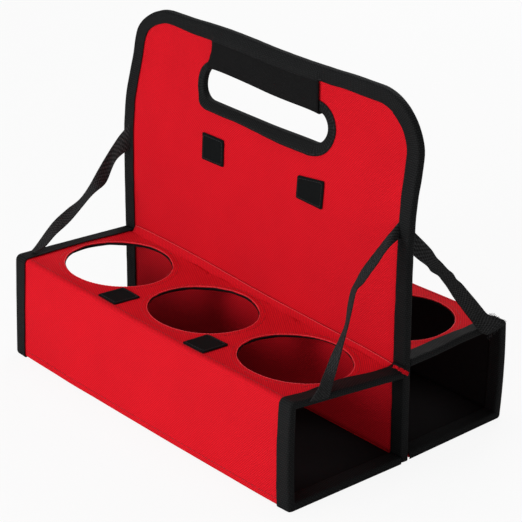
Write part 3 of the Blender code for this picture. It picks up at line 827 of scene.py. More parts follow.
for face in outward:
    maker = holed_sheet(inner_edge_reach, top_end, hole_radius)
    grow_edge(maker, 1, top_end, over_and_down + steps_between(heel_start, heel_middle, fold_cell))
    fray_holes(maker, 0.8 * mm)
    mark_pattern(maker)
    lay_down(maker, partial(on_cloth, face=face), face == "near")
    nodes = (f"{face}_top_cover", f"{face}_shoulder_fold", f"{face}_side_cover")
    piece = sew(f"{face}_outer_cloth", maker, red_cloth, bends(face), nodes)
    declare_holed(piece, heel_middle - inner_edge_reach)
    print(face, "outer cloth:", len(piece.data.polygons), "faces")

# %% [markdown]
# Rows of red stitches run round each hole, before the shoulder and above the heel. Their thread is darker than the
# cloth, which is painted shade of the stitch dimples. A row of light red threads on each hole's rim is a painted
# highlight along the rim.

# %% Stitches on the outer cloth
ring = hole_radius + stitch_ring
hole_rows = [
    # The stitch thread is darker than the cloth: painted shade of the stitch dimples.
    ("stitches", ring, ring, red_thread, stitch_pitch),
    # The edge row's light red threads are a painted highlight along the hole's rim.
    ("edge", hole_radius + 0.5 * mm, hole_radius, edge_fibres, stitch_length),
]
row_length = 2 * (cloth_half_length - tape_width)


def round_row(run, face, middle, radius, length):
    return on_cloth(*round_hole(2 * pi * run / length, radius, middle), face, 0.05 * mm)


def along_row(run, face, row_run):
    return on_cloth(run - row_length / 2, row_run, face, 0.05 * mm)


for face in outward:
    bend = bends(face)
    for place, (row, radius, run_radius, material, pitch) in product(hole_places, hole_rows):
        length = 2 * pi * run_radius
        spot = partial(round_row, face=face, middle=place * hole_pitch, radius=radius, length=length)
        sew_row(f"{face}_hole_{row}_{place + 2}", spot, length, material, bend, pitch)
    for number, row_run in enumerate((shoulder_start - 1.2 * mm, heel_start - 4 * mm), 1):
        spot = partial(along_row, face=face, row_run=row_run)
        sew_row(f"{face}_fold_stitches_{number}", spot, row_length, red_thread, bend)
print("outer cloth stitched")

# %% [markdown]
# ## Boards and linings
# Inside each wall is a stiffener board, and behind it a black lining, which turns up at each cup hole
# to meet the red cloth and hides the board's cut edge.


# %% A top's board
board_start = 6 * mm
board_hole_radius = hole_radius + 2.2 * mm
low_corner = (62 * mm, 42 * mm)


def cut_top_board(face):
    """A board that ends short of the shoulder. The near one is cut away at its low corner."""
    maker = holed_sheet(board_start, box_reach - fold_lead, board_hole_radius)
    if face == "near":
        middles = {cell: cell.calc_center_median() for cell in maker.faces}
        low = [cell for cell, (x, run, _) in middles.items() if x > low_corner[0] and run < low_corner[1]]
        bmesh.ops.delete(maker, geom=low, context="FACES")
    mark_pattern(maker)
    lay_down(maker, lambda x, run: lay_on_box(x, run, board_depth, face), face == "near")
    top = f"{face}_top"
    sew(f"{top}_stiffener", maker, grey_board, rides(top), [f"{top}_board"], board_thickness)


# %% Linings, with a facing turned up round each hole
lining_start = 4 * mm


def sew_lining(face):
    maker = holed_sheet(lining_start, top_end, hole_radius)
    rims = [e for e in maker.edges if e.is_boundary and beyond_hole(*e.verts[0].co.xy) < 1 * mm]
    raised, _ = extrude_rim(maker, rims)
    grow_edge(maker, 1, top_end, over_and_down)
    mark_pattern(maker)
    for vert in maker.verts:
        x, run = vert.co.xy
        if vert in raised:
            depth = cover_depth + cloth_thickness - 0.1 * mm + crease(x, run)
        else:
            depth = lining_depth - lining_lift * (1 - ramp(beyond_hole(x, run), 0, 2.2))
        vert.co = lay_on_box(x, run, depth, face)
    if face == "near":
        bmesh.ops.reverse_faces(maker, faces=maker.faces)
    nodes = (f"{face}_top_lining", f"{face}_side_lining")
    piece = sew(f"{face}_lining", maker, black_cloth, bends(face), nodes)
    declare_holed(piece, heel_start - lining_start)


# %% Plain strips: name, wall, run, depth, cell, material, the solids they stand for, and thickness
side_board = (shoulder_end + fold_lead - shoulder_radius, heel_start - board_end_gap)
bottom_board = (heel_end + board_end_gap, bottom_end - board_end_gap)
under, floor = (heel_middle, bottom_end), (heel_end - 1 * mm, bottom_end)
board, cloth = board_thickness, cloth_thickness
strips = [
    ("side_stiffener", "side", side_board, board_depth, 8, grey_board, ["side_board"], board),
    ("bottom_stiffener", "bottom", bottom_board, board_depth, 8, grey_board, ["bottom_board"], board),
    ("underside", "bottom", under, cover_depth, 2, red_cloth, ["bottom_cover", "heel_fold"], cloth),
    ("floor_lining", "bottom", floor, lining_depth, 4, black_cloth, ["bottom_lining"], cloth),
]


def sew_strip(face, name, wall, run_ends, depth, cell, material, nodes, thickness):
    """A strip that rides on one wall. Its cells' size along the run is in millimetres."""
    start, end = run_ends
    maker = flat_strip(2 * cloth_half_length, end - start, (max(cloth_cell, cell * mm), cell * mm))
    place = lambda x, run: lay_on_box(x - cloth_half_length, start + run, depth, face)
    lay_down(maker, place, face == "near")
    nodes = [f"{face}_{node}" for node in nodes]
    piece = sew(f"{face}_{name}", maker, material, rides(f"{face}_{wall}"), nodes, thickness)
    if material is not grey_board:
        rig.sheet(piece, flat=(2 * cloth_half_length, end - start), held="stretched")


for face in outward:
    cut_top_board(face)
    sew_lining(face)
    for strip in strips:
        sew_strip(face, *strip)
print("boards cut, linings sewn")

# %% [markdown]
# ## Seams along the panel
# The outer cloth is sewn to the panel above each top. Its edge stands up as a soft ridge, with a painted
# highlight of light red thread along it, dips, and runs on into the top. The strip bends between them when a box
# folds.

# %% Profiles of the seams: reach from the panel's middle and height over the wall, in millimetres
reach_mm = inner_edge_reach / mm
seam_profiles = {
    "top": [
        (2.6, 0.6), (2.7, 2.7), (3.1, 3.0), (3.5, 2.5), (3.9, 1.7), (4.6, 0.8), (5.5, -0.1),
        (reach_mm, -0.66), (reach_mm + 0.9, -0.95), (reach_mm + 1.6, -1.4),
    ],
    "bottom": [(7.5, 0.8), (4.2, 0.9), (3.1, 1.6), (3.0, 3.2)],
}
seam_base = {"top": box_height, "bottom": 0.0}
seam_cell = (3 * mm, 0.7 * mm)
seam_sinks = 0.6


# %% Seam strips
def point_along(points, distance):
    """The point a distance along a bent line."""
    for start, end in zip(points, points[1:]):
        length = (end - start).length
        if distance <= length:
            return start.lerp(end, distance / length)
        distance -= length
    return points[-1]


def line_length(points):
    return sum((b - a).length for a, b in zip(points, points[1:]))


def sew_seam(face, wall):
    """A strip of red cloth laid along its profile. The top's sinks towards the low right corner."""
    out, base = outward[face], seam_base[wall]
    points = [Vector((reach * mm, base + height * mm)) for reach, height in seam_profiles[wall]]
    maker = flat_strip(row_length, line_length(points), seam_cell)

    def place(x, run):
        reach, height = point_along(points, run)
        x -= row_length / 2
        if wall == "top":
            height -= (height - points[-3].y) * seam_sinks * ramp(x, -90, 120)
        ripple = 0.35 * mm * noise.noise(Vector(((x + row_length / 2) * 60, run * 200, out)))
        return set_box(Vector((x, out * (reach + ripple), height + ripple)), face)

    lay_down(maker, place, face == "near")
    start, end = (0, out * 3.4 * mm, base), (0, out * inner_edge_reach, base)
    bend = lambda piece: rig.blend(piece, "panel", f"{face}_{wall}", start=start, end=end)
    sew(f"{face}_{wall}_seam", maker, red_cloth, bend, [f"{face}_{wall}_seam_fold"])
    if wall == "top":
        ridge, lift = line_length(points[:3]), Vector((0, 0, 0.1 * mm))
        spot = lambda run: place(run, ridge) + lift
        # A row of light red threads along the ridge: a painted highlight.
        sew_row(f"{face}_ridge_edge", spot, row_length, edge_fibres, rides("panel"), stitch_length)


for face, wall in product(outward, seam_profiles):
    sew_seam(face, wall)
print("seams sewn")

# %% [markdown]
# ## The panel
# The panel is a board between two red sheets. Its outline and its hand slot are rectangles whose corners
# are bevelled to true arcs. The two are filled together, and the fill is cut by straight lines, so that
# it can lean.

# %% Outline and slot
slot_half_length = slot_high.x - slot_band
slot_middle = (slot_low.z + slot_high.z) / 2
slot_half_height = (slot_high.z - slot_low.z) / 2 - slot_band
print("slot", *[round(2000 * half) for half in (slot_half_length, slot_half_height)], "mm")


def round_corners(maker, corners, radius, segments):
    turns = {"offset_type": "OFFSET", "affect": "VERTICES", "profile": 0.5, "material": -1}
    bmesh.ops.bevel(maker, geom=corners, offset=radius, segments=segments, **turns)


def outline_loop(maker, low, high, round_all, radius, segments):
    """A rectangle's edge with its upper corners or all its corners rounded."""
    plate = bmesh.ops.create_grid(maker, x_segments=1, y_segments=1, size=0.5)["verts"]
    for vert in plate:
        vert.co = Vector((low[0] if vert.co.x < 0 else high[0], low[1] if vert.co.y < 0 else high[1], 0))
    middle = (low[1] + high[1]) / 2
    round_corners(maker, [v for v in plate if round_all or v.co.y > middle], radius, segments)


def panel_sheet(inset):
    """A flat panel whose outline is drawn in by an inset and whose slot is grown by it."""
    maker = bmesh.new()
    side = half_length - inset
    outline_loop(maker, (-side, 0), (side, panel_height - inset), False, panel_corner_radius - inset, 16)
    radius, reach = slot_half_height + inset, slot_half_length + inset
    low, high = (-reach, slot_middle - radius), (reach, slot_middle + radius)
    outline_loop(maker, low, high, True, radius - 0.01 * mm, 12)
    bmesh.ops.delete(maker, geom=maker.faces[:], context="FACES_ONLY")
    bmesh.ops.triangle_fill(maker, edges=maker.edges[:], use_beauty=True)
    bmesh.ops.dissolve_limit(maker, angle_limit=0.01, verts=[], edges=maker.edges[:])
    for normal, start, end in ((Vector((1, 0, 0)), -side, side), (Vector((0, 1, 0)), 0, panel_height)):
        for cut in steps_between(start, end, 7 * mm)[:-1]:
            parts = maker.verts[:] + maker.edges[:] + maker.faces[:]
            bmesh.ops.bisect_plane(maker, geom=parts, plane_co=normal * cut, plane_no=normal)
    face_up(maker)
    mark_pattern(maker)
    return maker


# %% Board and both covers of the panel
def on_face(x, z, out):
    """A place on a face of the panel, whose sheet is softly uneven between its stiff edges."""
    wrinkle = 0.25 * mm * noise.noise(Vector((x * 40, z * 30, 0.4)))
    return set_panel(Vector((x, out * (panel_cover_reach + wrinkle), z)))


panel_area = 0.999 * 2 * half_length * panel_height - 4 * slot_half_length * slot_half_height
for face, out in outward.items():
    maker = panel_sheet(cover_depth)
    lay_down(maker, partial(on_face, out=out), out > 0)
    cloth = sew(f"panel_{face}_cloth", maker, red_cloth, rides("panel"), [f"panel_{face}_cover"])
    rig.sheet(cloth, flat=(2 * half_length, panel_height), held="stretched", area=panel_area)
maker = panel_sheet(cover_depth)
lay_down(maker, lambda x, z: set_panel(Vector((x, 0, z))))
sew("panel_stiffener", maker, grey_board, rides("panel"), ["panel_board"], panel_board_thickness, 0.0)
print("panel sewn")

# %% [markdown]
# ## Binding tape
# Binding tape is a ribbon that is folded over a raw edge and sewn through. The same fold serves every
# edge: only the path that the edge takes differs.

# %% Fold a ribbon over an edge
wall_nose = 1.0 * mm


def over_edge(across, half, nose):
    """Where a tape's width lies: distance from the edge, and offset through the wall.

    Across runs from the fold's middle, below zero on one face and above zero on the other.
    """
    side = 1 if across > 0 else -1
    run = abs(across)
    flat = half - nose
    if run < flat:
        return 0.0, side * run
    turn = (run - flat) / nose
    if turn < pi / 2:
        return nose * (1 - cos(turn)), side * (flat + nose * sin(turn))
    return nose + run - flat - nose * pi / 2, side * half


def bind(name, half, width, length, place, follow, nodes, material=black_tape, nose=wall_nose, **cut):
    """A ribbon folded over an edge and sewn on both faces.

    Half is half the wall's bound thickness. Place gives the spot for (along, from the edge, through).
    Cut may name the cell along the tape, its thickness, a flip of its faces, and that it is closed.
    """
    reach = half - nose + nose * pi / 2 + width - nose
    maker = flat_strip(2 * reach, length, (1.1 * mm, cut.get("cell", 3 * mm)))

    def laid(across, along):
        inward, through = over_edge(across - reach, half, nose)
        if inward > width * 0.6:
            inward += 0.35 * mm * noise.noise(Vector((along * 55, through * 90, len(name))))
        puff = 0.25 * mm * noise.noise(Vector((along * 95, across * 160, 3.0)))
        lift = puff if abs(through) > half * 0.9 else 0.0
        return place(along, inward, through + (lift if through > 0 else -lift))

    lay_down(maker, laid, cut.get("flip", True))
    if cut.get("closed"):
        bmesh.ops.remove_doubles(maker, verts=maker.verts, dist=0.2 * mm)
    piece = sew(name, maker, material, follow, nodes, cut.get("thickness", tape_thickness))
    for number, side in enumerate((-1, 1), 1):

        def seam(run, side=side):
            inward = width - 1.7 * mm + 0.3 * mm * noise.noise(Vector((run * 40, side, len(name))))
            return place(run, inward, side * (half + 0.12 * mm))

        sew_row(f"{name}_stitches_{number}", seam, length, black_thread, follow)
    return piece


# %% Tape on the cut ends of the walls
# How much less or more of its width a wall's tape shows about a run in millimetres, as folded by hand
tape_humps = {
    ("near", "right"): ((0.24, 50, 32), (-0.12, 88, 16)),
    ("near", "left"): ((-0.24, 50, 55),),
    ("far", "right"): ((-0.20, 72, 36),),
    ("far", "left"): ((-0.06, 60, 40),),
}
tape_start = 3.5 * mm


def bind_wall_ends(face, hand):
    """The tape at an end of a box: over the top and down the side, and along the bottom."""
    side, flip = hands[hand], (hand == "right") == (face == "near")

    def end_of_wall(start, along, inward, through):
        run = start + along
        share = 1 + sum(size * hump(run, *zone) for size, *zone in tape_humps[face, hand])
        return lay_on_box(side * (half_length - inward * share), run, wall_bound / 2 - through, face)

    for part, start, end, cell, follow, walls in (
        ("end", tape_start, heel_middle, 1.4 * mm, bends(face), ("top", "side")),
        ("foot", heel_middle, bottom_end, 2 * mm, rides(f"{face}_bottom"), ("bottom",)),
    ):
        name, nodes = f"{face}_{hand}_{part}_tape", [f"{face}_{wall}_{hand}_binding" for wall in walls]
        place = partial(end_of_wall, start)
        bind(name, wall_bound / 2, tape_width, end - start, place, follow, nodes, cell=cell, flip=flip)


for face, hand in product(outward, hands):
    bind_wall_ends(face, hand)
print("wall ends bound")


# %% Paths of straight and round legs
def straight(start, way, inward, length):
    """A leg of a path: its length, and the place and the inward way at a run along it."""
    start, way, inward = Vector(start), Vector(way), Vector(inward)
    return length, lambda run: (start + way * run, inward)


def arc(x, z, radius, first_turn, length, inward):
    """A leg round a centre. Inward is 1 where the tape lies outside the arc, and -1 where it lies inside."""

    def at(run):
        turn = first_turn + run / radius
        way = Vector((cos(turn), 0, sin(turn)))
        return Vector((x, 0, z)) + way * radius, inward * way

    return length, at


def path_along(legs):
    """The length of a path, and a function that gives its place and inward way at a run."""

    def at(run):
        for length, leg in legs[:-1]:
            if run < length:
                return leg(run)
            run -= length
        return legs[-1][1](run)

    return sum(length for length, _ in legs), at


# %% Tape round the panel's edge
def on_panel(path, share=lambda point, way: 1.0):
    """Lays a tape along a path on the panel. Share says how much of its width a place shows."""

    def spot(along, inward, through):
        point, way = path(along)
        under_sleeve = sleeve_half_length + 2 * mm - abs(point.x - sleeve_shift)
        lift = 2.3 * mm * ramp(under_sleeve, 0, 4) * ramp(inward, 0, 7) if way.z < -0.5 else 0.0
        through += lift if through > 0 else -lift
        return set_panel(point + way * inward * share(point, way) + Vector((0, through, 0)))

    return spot


def edge_share(point, way):
    """Hand-folded tape covers less on the right edge and at the left corner, and more by the sleeve."""
    if way.x < -0.5:
        return 1 - 0.13 * ramp(point.z, 230, -50) * (1 - 0.6 * ramp(point.z, 150, -40))
    at_corner = 0.16 * hump(point.x, -118, 30) if way.z < -0.3 else 0.0
    by_sleeve = 0.03 * hump(point.x, -72, 22) if way.z < -0.9 else 0.0
    at_right = 0.07 * ramp(point.x, 118, 20) if way.z < -0.1 else 0.0
    return 1 - at_corner + by_sleeve - at_right


def slot_share(point, way):
    """The slot's tape is folded narrower along its left half."""
    return 0.88 - 0.26 * ramp(point.x, 35, -60)


edge_foot = box_height - 4.5 * mm
crown = panel_height - panel_corner_radius
shoulder = half_length - panel_corner_radius
quarter = panel_corner_radius * pi / 2
edge_length, edge_at = path_along([
    straight((half_length, 0, edge_foot), (0, 0, 1), (-1, 0, 0), crown - edge_foot),
    arc(shoulder, crown, panel_corner_radius, 0, quarter, -1),
    straight((shoulder, 0, panel_height), (-1, 0, 0), (0, 0, -1), 2 * shoulder),
    arc(-shoulder, crown, panel_corner_radius, pi / 2, quarter, -1),
    straight((-half_length, 0, crown), (0, 0, -1), (1, 0, 0), crown - edge_foot),
])
ride_panel = rides("panel")
place = on_panel(edge_at, edge_share)
bind("panel_edge_tape", panel_bound, tape_width, edge_length, place, ride_panel, ["panel_edge_binding"])
for hand, side in hands.items():
    path = straight((side * half_length, 0, 0), (0, 0, 1), (-side, 0, 0), edge_foot)[1]
    name, nodes = f"panel_{hand}_lower_tape", [f"panel_{hand}_lower_binding"]
    bind(name, panel_bound, tape_width, edge_foot, on_panel(path), ride_panel, nodes, flip=side > 0)
print("panel edge bound:", round(edge_length / mm), "mm of tape")

# %% [markdown]
# ## Hand slot and sleeve
# The slot's edge is bound by a loop of tape. A padded sleeve of black cloth goes under the grip and up
# both faces to the top tape.

# %% Tape round the hand slot
slot_centre = slot_half_length - slot_half_height
upper, lower = slot_middle + slot_half_height, slot_middle - slot_half_height
slot_length, slot_at = path_along([
    arc(slot_centre, slot_middle, slot_half_height, -pi / 2, pi * slot_half_height, 1),
    straight((slot_centre, 0, upper), (-1, 0, 0), (0, 0, 1), 2 * slot_centre),
    arc(-slot_centre, slot_middle, slot_half_height, pi / 2, pi * slot_half_height, 1),
    straight((-slot_centre, 0, lower), (1, 0, 0), (0, 0, -1), 2 * slot_centre),
])
place, loop = on_panel(slot_at, slot_share), {"cell": 2 * mm, "closed": True}
bind("hand_slot_tape", panel_bound, slot_band, slot_length, place, ride_panel, ["hand_slot_binding"], **loop)

# %% Padded sleeve over the grip
sleeve_thickness = 1.2 * mm
sleeve_nose = 2.2 * mm
sleeve_foot = upper - 1.2 * mm
sleeve_rise = panel_height - tape_width + 4 * mm - sleeve_foot


def sleeve_spot(along, inward, through):
    """A place on the sleeve, which is fuller in its middle and hangs a little at its ends."""
    across = abs(along / sleeve_half_length - 1)
    if abs(through) > panel_bound:
        crown = 0.8 * mm * (1 - across**4) * sin(pi * min(max(inward / sleeve_rise, 0), 1)) ** 1.5
        through += crown if through > 0 else -crown
    height = sleeve_foot - 0.8 * mm * across**8 + inward
    return set_panel(Vector((along - sleeve_half_length + sleeve_shift, through, height)))


half = panel_bound + sleeve_thickness + 0.4 * mm
padding = {"material": sleeve_cloth, "nose": sleeve_nose, "thickness": sleeve_thickness, "flip": False}
sleeve_size = (2 * sleeve_half_length, sleeve_rise)
sleeve = bind("grip_sleeve", half, *sleeve_size[::-1], sleeve_spot, ride_panel, ["handle_sleeve"], **padding)
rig.padded(sleeve, fill=0.5)
print("sleeve", *[round(side / mm) for side in sleeve_size], "mm")

# %% [markdown]
# ## Touch-fastener patches
# Small squares of hook tape hold the folded boxes against the panel. They sit slightly askew, as
# hand-placed patches do.

# %% Patch places: middle along, middle up or out, width, height, turn in degrees and lift of each corner
patch_thickness = 1.2 * mm
patch_cells = {"x_segments": 6, "y_segments": 6, "size": 0.5}
cut_square = (0.0, 0.0, 0.0, 0.0)
cut_askew = (1.1, 1.7, 2.7, -2.2)
panel_patches = {
    "left": (-54.0, 181.0, 26.0, 22.0, 1.0, cut_square),
    "right": (60.0, 181.0, 29.0, 21.5, -3.0, cut_askew),
}
top_patches = {
    "left": (-56.2, 88.4, 22.0, 24.0, 1.0, cut_square),
    "right": (50.8, 89.2, 23.5, 24.5, -2.0, cut_square),
}


def add_patch(name, spec, place, lift, flip, body):
    """A thin bevelled plate, turned a little, and a square row of stitches just inside its edge.

    Place gives the spot for (along, up or out, lift), and lift is that of the plate's upper face.
    """
    x, other, width, height, turn, lifts = spec
    spin, middle = Matrix.Rotation(radians(turn), 3, "Z"), Vector((x * mm, other * mm, 0))
    maker = bmesh.new()
    bmesh.ops.create_grid(maker, **patch_cells)
    for vert in maker.verts:
        right, up = vert.co.x + 0.5, vert.co.y + 0.5
        low, high = lifts[0] + right * (lifts[1] - lifts[0]), lifts[3] + right * (lifts[2] - lifts[3])
        vert.co = Vector((vert.co.x * width, vert.co.y * height + low + up * (high - low), 0)) * mm
    round_corners(maker, [v for v in maker.verts if len(v.link_edges) == 2], 1.2 * mm, 3)
    bmesh.ops.rotate(maker, verts=maker.verts, matrix=spin)
    bmesh.ops.translate(maker, verts=maker.verts, vec=middle)
    mark_pattern(maker)
    lay_down(maker, partial(place, lift=lift), flip)
    nodes = [f"{name}_patch"]
    sew(f"{name}_hook_patch", maker, fastener_pile, rides(body), nodes, patch_thickness, bevel=0.3 * mm)
    wide, high = (width / 2 - 1.6) * mm, (height / 2 - 1.6) * mm
    corners = ((-wide, -high), (wide, -high), (wide, high), (-wide, high))
    line = [Vector((along, up + raised * mm, 0)) for (along, up), raised in zip(corners, lifts)]
    line.append(line[0])

    def stitch(run):
        return place(*(spin @ point_along(line, run) + middle).xy, lift=lift + 0.1 * mm)

    sew_row(f"{name}_patch_stitches", stitch, line_length(line), black_thread, rides(body), pitch=3 * mm)


def on_panel_face(x, z, lift, out):
    return set_panel(Vector((x, out * (panel_cover_reach + lift), z)))


def on_top(x, run, lift, face):
    return lay_on_box(x, run, cover_depth - lift, face)


for (face, out), hand in product(outward.items(), hands):
    place, lift = partial(on_panel_face, out=out), patch_thickness + 0.3 * mm
    add_patch(f"panel_{face}_{hand}", panel_patches[hand], place, lift, out > 0, "panel")
    place, lift = partial(on_top, face=face), patch_thickness + 0.2 * mm
    add_patch(f"{face}_top_{hand}", top_patches[hand], place, lift, face == "near", f"{face}_top")
print("patches placed")

# %% [markdown]
# ## Straps
# Four straps of flat webbing hold the boxes square. Each starts on edge under the panel's edge tape and
# turns on its way, because it has to land flat. So it is a ribbon between two curves.

# %% Straps from start to tip, with the turns of their width
strap_width = 15 * mm
strap_thickness = 1.2 * mm
strap_cell = (2.5 * mm, 2 * mm)
turned_way = Vector((0.354, -0.293, 0.198))


def curve_through(points, share):
    """A point on a smooth curve that passes through all the points."""
    count = len(points) - 1
    place = min(share * count, count - 1e-9)
    index = int(place)
    t = place - index
    p = [Vector(points[max(0, min(count, index + k))]) for k in (-1, 0, 1, 2)]
    bend = (2 * p[0] - 5 * p[1] + 4 * p[2] - p[3]) * t * t
    return 0.5 * (2 * p[1] + (p[2] - p[0]) * t + bend + (3 * p[1] - p[0] - 3 * p[2] + p[3]) * t**3)


def hang_strap(face, hand, stations):
    """A webbing strap whose upper and lower edges pass through stations.

    A station is (along, upper reach, upper height, lower reach, lower height, turn), in millimetres.
    Its turn says how far its upper edge stands back from its lower edge, along turned_way.
    """
    upper = [(Vector(spot[:3]) - turned_way * spot[5]) * mm for spot in stations]
    lower = [(Vector((spot[0], *spot[3:5])) + turned_way * spot[5]) * mm for spot in stations]
    middles = [(a + b) / 2 for a, b in zip(upper, lower)]
    length = line_length(middles)
    maker = flat_strip(strap_width, length, strap_cell)

    def place(across, along):
        high, low = curve_through(upper, along / length), curve_through(lower, along / length)
        return high.lerp(low, across / strap_width)

    def bend(piece):
        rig.blend(piece, "panel", f"{face}_top", start=tuple(middles[0]), end=tuple(middles[-1]))

    lay_down(maker, place)
    name, nodes = f"{face}_{hand}_webbing", [f"{face}_{hand}_strap"]
    sew(name, maker, black_webbing, bend, nodes, strap_thickness, 0.0, 0.35 * mm)
    print(name, "is", round(length / mm), "mm long")


strap_stations = {
    ("near", "left"): [
        (-160, 0, 173, 0, 151.5, 0), (-163, -12.3, 160.9, -12.8, 142.5, 8),
        (-163, -29.3, 141.5, -24, 125.8, 3), (-163, -48, 120.4, -38.4, 118, 13),
        (-163, -63, 113.5, -58.5, 102.3, 9), (-163, -77.9, 105.2, -73.5, 94, 9),
        (-163, -94.9, 89.6, -83.9, 86.9, 12), (-163, -100.9, 85.2, -92.9, 84.6, 13),
    ],
    ("near", "right"): [
        (158, 0, 188.5, 0, 175.8, 0), (160, -10, 183.7, -9.7, 173.3, 9),
        (160, -20.2, 175.4, -16.2, 169.3, 13), (160, -28.6, 168.8, -21.8, 163.5, 13),
        (160, -36.9, 161.9, -29.2, 157.1, 12), (160, -42.6, 154.3, -35.5, 151.7, 12),
        (160, -46.4, 148.5, -42.3, 147.7, 13), (160, -49.2, 137.6, -45.7, 136.1, 13),
        (160, -51.2, 124.2, -49.5, 123.1, 14), (160, -56.8, 114.2, -53.4, 110.4, 13),
        (160, -64.3, 103.3, -57.2, 98, 12), (162, -71.8, 94.6, -62.3, 88.5, 10),
        (165.4, -78.1, 91.2, -67.2, 86.2, 6), (167.6, -82.1, 87.8, -70.3, 83.7, 2),
        (168.6, -86.8, 83.8, -72.5, 80.5, 0), (168.9, -91.9, 79.3, -74.9, 77, 0),
    ],
    ("far", "right"): [
        (158, 4.8, 186.5, 4.8, 168, 0), (160, 18.9, 171.4, 15.5, 156.6, 3),
        (160, 29.6, 160, 26.2, 147.4, 5), (160, 35.2, 152.2, 30.1, 142.4, 5),
        (160, 40.6, 146.6, 33.9, 139.4, 4), (160, 47.2, 139.3, 38, 136.3, 2),
        (160, 52.4, 134.7, 41.7, 131.8, 1), (160, 56.2, 129.1, 45.9, 126.5, 2),
        (160, 61.7, 124, 49.7, 121.1, 2), (160, 68.6, 116, 54.3, 114.3, 2),
        (160, 76.8, 106.5, 60.1, 106.8, 2), (160, 84.2, 97.6, 65.9, 99.3, 2),
        (160.5, 90, 90.9, 71.4, 92.3, 2), (163.5, 96.7, 87.2, 74.9, 86.1, 2),
        (165.6, 103.2, 83, 78.3, 81.6, 3), (166.4, 103.4, 80.4, 83.9, 77.9, 3),
    ],
    ("far", "left"): [
        (-158, 4.8, 170, 4.8, 152, 0), (-160, 14, 161, 12, 147, 6),
        (-160, 30, 146, 26, 135, 9), (-160, 48, 129, 43, 119, 9),
        (-160, 64, 114, 58, 104, 9), (-160, 80, 99, 72, 91, 10),
        (-160, 95, 86.2, 86, 85, 13), (-160, 101, 84.8, 93, 84.4, 13),
    ],
}
for (face, hand), stations in strap_stations.items():
    hang_strap(face, hand, stations)

# %% [markdown]
# ## Small signs of hand sewing
# At its right foot the edge tape ends over a scrap of raw red cloth, and the far right strap was cut
# off with scissors, so its end frays.

# %% Scrap of raw cloth at the edge tape's foot
scrap_size = (19 * mm, 4.5 * mm)
scrap_start = Vector((half_length + 1.0 * mm, -10.5 * mm, box_height - 0.6 * mm))
scrap_end = Vector((half_length + 1.4 * mm, 3.5 * mm, box_height - 11.0 * mm))


def scattered(point):
    """Three noises at a point, the same in every run."""
    return Vector([noise.noise(point + Vector((0, 0, level))) for level in (11.3, 23.7, 37.1)])


def crumple(x, y):
    """A gathered scrap: it runs down across the panel's edge, and its ends are tucked in."""
    share, height = x / scrap_size[0], y / scrap_size[1]
    line = scrap_start.lerp(scrap_end, share)
    tuck = -2.5 * mm * (eased(1 - share / 0.12) + eased(1 - (1 - share) / 0.12))
    up = Vector((0, 0.48, 0.88)) * (height - 0.5) * mm * (2.1 + 0.9 * eased((share - 0.35) / 0.4))
    rough = scattered(Vector((x * 420, y * 420, 0.3))) * 0.8 * mm
    pleat = 0.8 * mm * sin(x * 2100 + 2.5 * height)
    return line + up + rough + Vector((tuck + pleat, 0, 0))


maker = flat_strip(*scrap_size, (0.7 * mm, 0.6 * mm))
lay_down(maker, crumple)
sew("raw_cloth_scrap", maker, red_cloth, ride_panel, offset=0.0, even=False)

# %% Frayed threads at the far right strap's end
fray_count = 46
first_share = 0.6
first_cut = Vector((160.5, 90.0, 90.3)) * mm, Vector((165.2, 102.0, 83.6)) * mm
second_cut = Vector((165.6, 96.0, 81.0)) * mm, Vector((167.4, 83.0, 77.0)) * mm
maker = bmesh.new()
for k in range(fray_count):
    share = k / (fray_count - 1)
    if share < first_share:
        root = first_cut[0].lerp(first_cut[1], share / first_share)
    else:
        root = second_cut[0].lerp(second_cut[1], (share - first_share) / (1 - first_share))
    wild = scattered(Vector((k * 1.7, 0.5, 2.5)))
    reach = (1.6 + 3.2 * abs(wild.x) * (1.5 - share)) * mm
    way = Vector((0.4 + wild.z, 0.8 * (1 - share) + 0.5 * wild.y, 0.5 - share)).normalized()
    middle = root + way * reach * 0.6
    way = Vector((wild.y, 1 - share + wild.x, 0.4 - 1.2 * share + wild.z)).normalized()
    tip = middle + way * reach * 0.7
    add_rod(maker, root, middle, 0.17 * mm)
    add_rod(maker, middle, tip, 0.14 * mm)
frays = finish_piece("frayed_threads", maker, black_thread)
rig.ride(frays, "far_top")
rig.slot(frays, "black_webbing")
print("frayed threads:", fray_count)

# %% [markdown]
# ## Camera, light and ground
# The camera stands where the photograph's did, found from the corners and the holes. The light is soft,
# as in a product picture.

# %% Camera
scene = bpy.context.scene
view_azimuth = radians(50.37)
view_elevation = radians(23.35)
view_roll = radians(0.09)
view_distance = 1.8707
view_target = Vector((0.00681, -0.0022, 0.10820))
focal_pixels = 2448.5
picture_pixels = 522
level = cos(view_elevation)
back = Vector((sin(view_azimuth) * level, -cos(view_azimuth) * level, sin(view_elevation)))
camera_data = bpy.data.cameras.new("camera")
camera_data.sensor_width = 36
camera_data.lens = focal_pixels / picture_pixels * camera_data.sensor_width
camera_data.clip_start = 0.05
camera_data.clip_end = 50
camera = bpy.data.objects.new("camera", camera_data)
scene.collection.objects.link(camera)
camera.location = view_target + back * view_distance
turned = Matrix.Rotation(view_roll, 3, back) @ back.to_track_quat("Z", "Y").to_matrix()
camera.rotation_euler = turned.to_euler()
scene.camera = camera

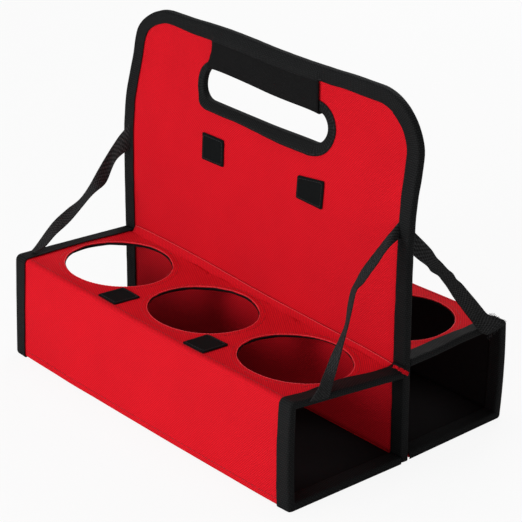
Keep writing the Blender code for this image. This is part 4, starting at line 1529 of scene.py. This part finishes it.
# %% White ground and backdrop
white = (1, 1, 1, 1)
maker = bmesh.new()
bmesh.ops.create_circle(maker, cap_ends=True, segments=64, radius=6.0)
ground_material, tree, shader = new_material("studio_ground")
shader.inputs["Base Color"].default_value = (0.72, 0.72, 0.72, 1)
shader.inputs["Roughness"].default_value = 0.9
lit_white = add_node(tree, "ShaderNodeEmission", {"Color": white, "Strength": 1.0}).outputs[0]
seen = add_node(tree, "ShaderNodeLightPath").outputs["Is Camera Ray"]
mix = {0: maths(tree, "MULTIPLY", seen, 0.9), 1: shader.outputs[0], 2: lit_white}
ground_mix = add_node(tree, "ShaderNodeMixShader", mix)
tree.links.new(ground_mix.outputs[0], tree.nodes["Material Output"].inputs["Surface"])
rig.stage(finish_piece("ground", maker, ground_material, smooth=False))

scene.world = bpy.data.worlds.new("studio")
scene.world.use_nodes = True
tree = scene.world.node_tree
sky = tree.nodes["Background"]
sky.inputs["Color"].default_value = white
sky.inputs["Strength"].default_value = 0.27
backdrop = add_node(tree, "ShaderNodeBackground", {"Color": white, "Strength": 1.0}).outputs[0]
seen = add_node(tree, "ShaderNodeLightPath").outputs["Is Camera Ray"]
mix = add_node(tree, "ShaderNodeMixShader", {0: seen, 1: sky.outputs[0], 2: backdrop})
tree.links.new(mix.outputs[0], tree.nodes["World Output"].inputs["Surface"])


# %% Soft lamps
def add_lamp(name, place, size, power):
    lamp = bpy.data.lights.new(name, "AREA")
    lamp.shape, lamp.size, lamp.energy = "DISK", size, power
    thing = bpy.data.objects.new(name, lamp)
    scene.collection.objects.link(thing)
    thing.location = place
    thing.rotation_euler = (Vector(place) - Vector((0, 0, 0.1))).to_track_quat("Z", "Y").to_euler()


add_lamp("key", (-0.08, -1.1, 0.30), 0.8, 9.2)
add_lamp("fill", (1.8, -1.0, 0.50), 0.9, 6.0)
add_lamp("top", (-0.2, 0.1, 2.0), 1.2, 12.5)
add_lamp("back", (-1.0, 1.8, 1.1), 1.0, 17)
scene.view_settings.view_transform = "Standard"

# %% Write the CAD and shown sizes to a file, and finish
new_low, new_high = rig.bounds()
with open("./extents.json", "w") as report:
    json.dump({"cad": [list(cad_low), list(cad_high)], "visual": [list(new_low), list(new_high)]}, report)
print("visual box in mm:", [round(1000 * c, 1) for c in (*new_low, *new_high)])
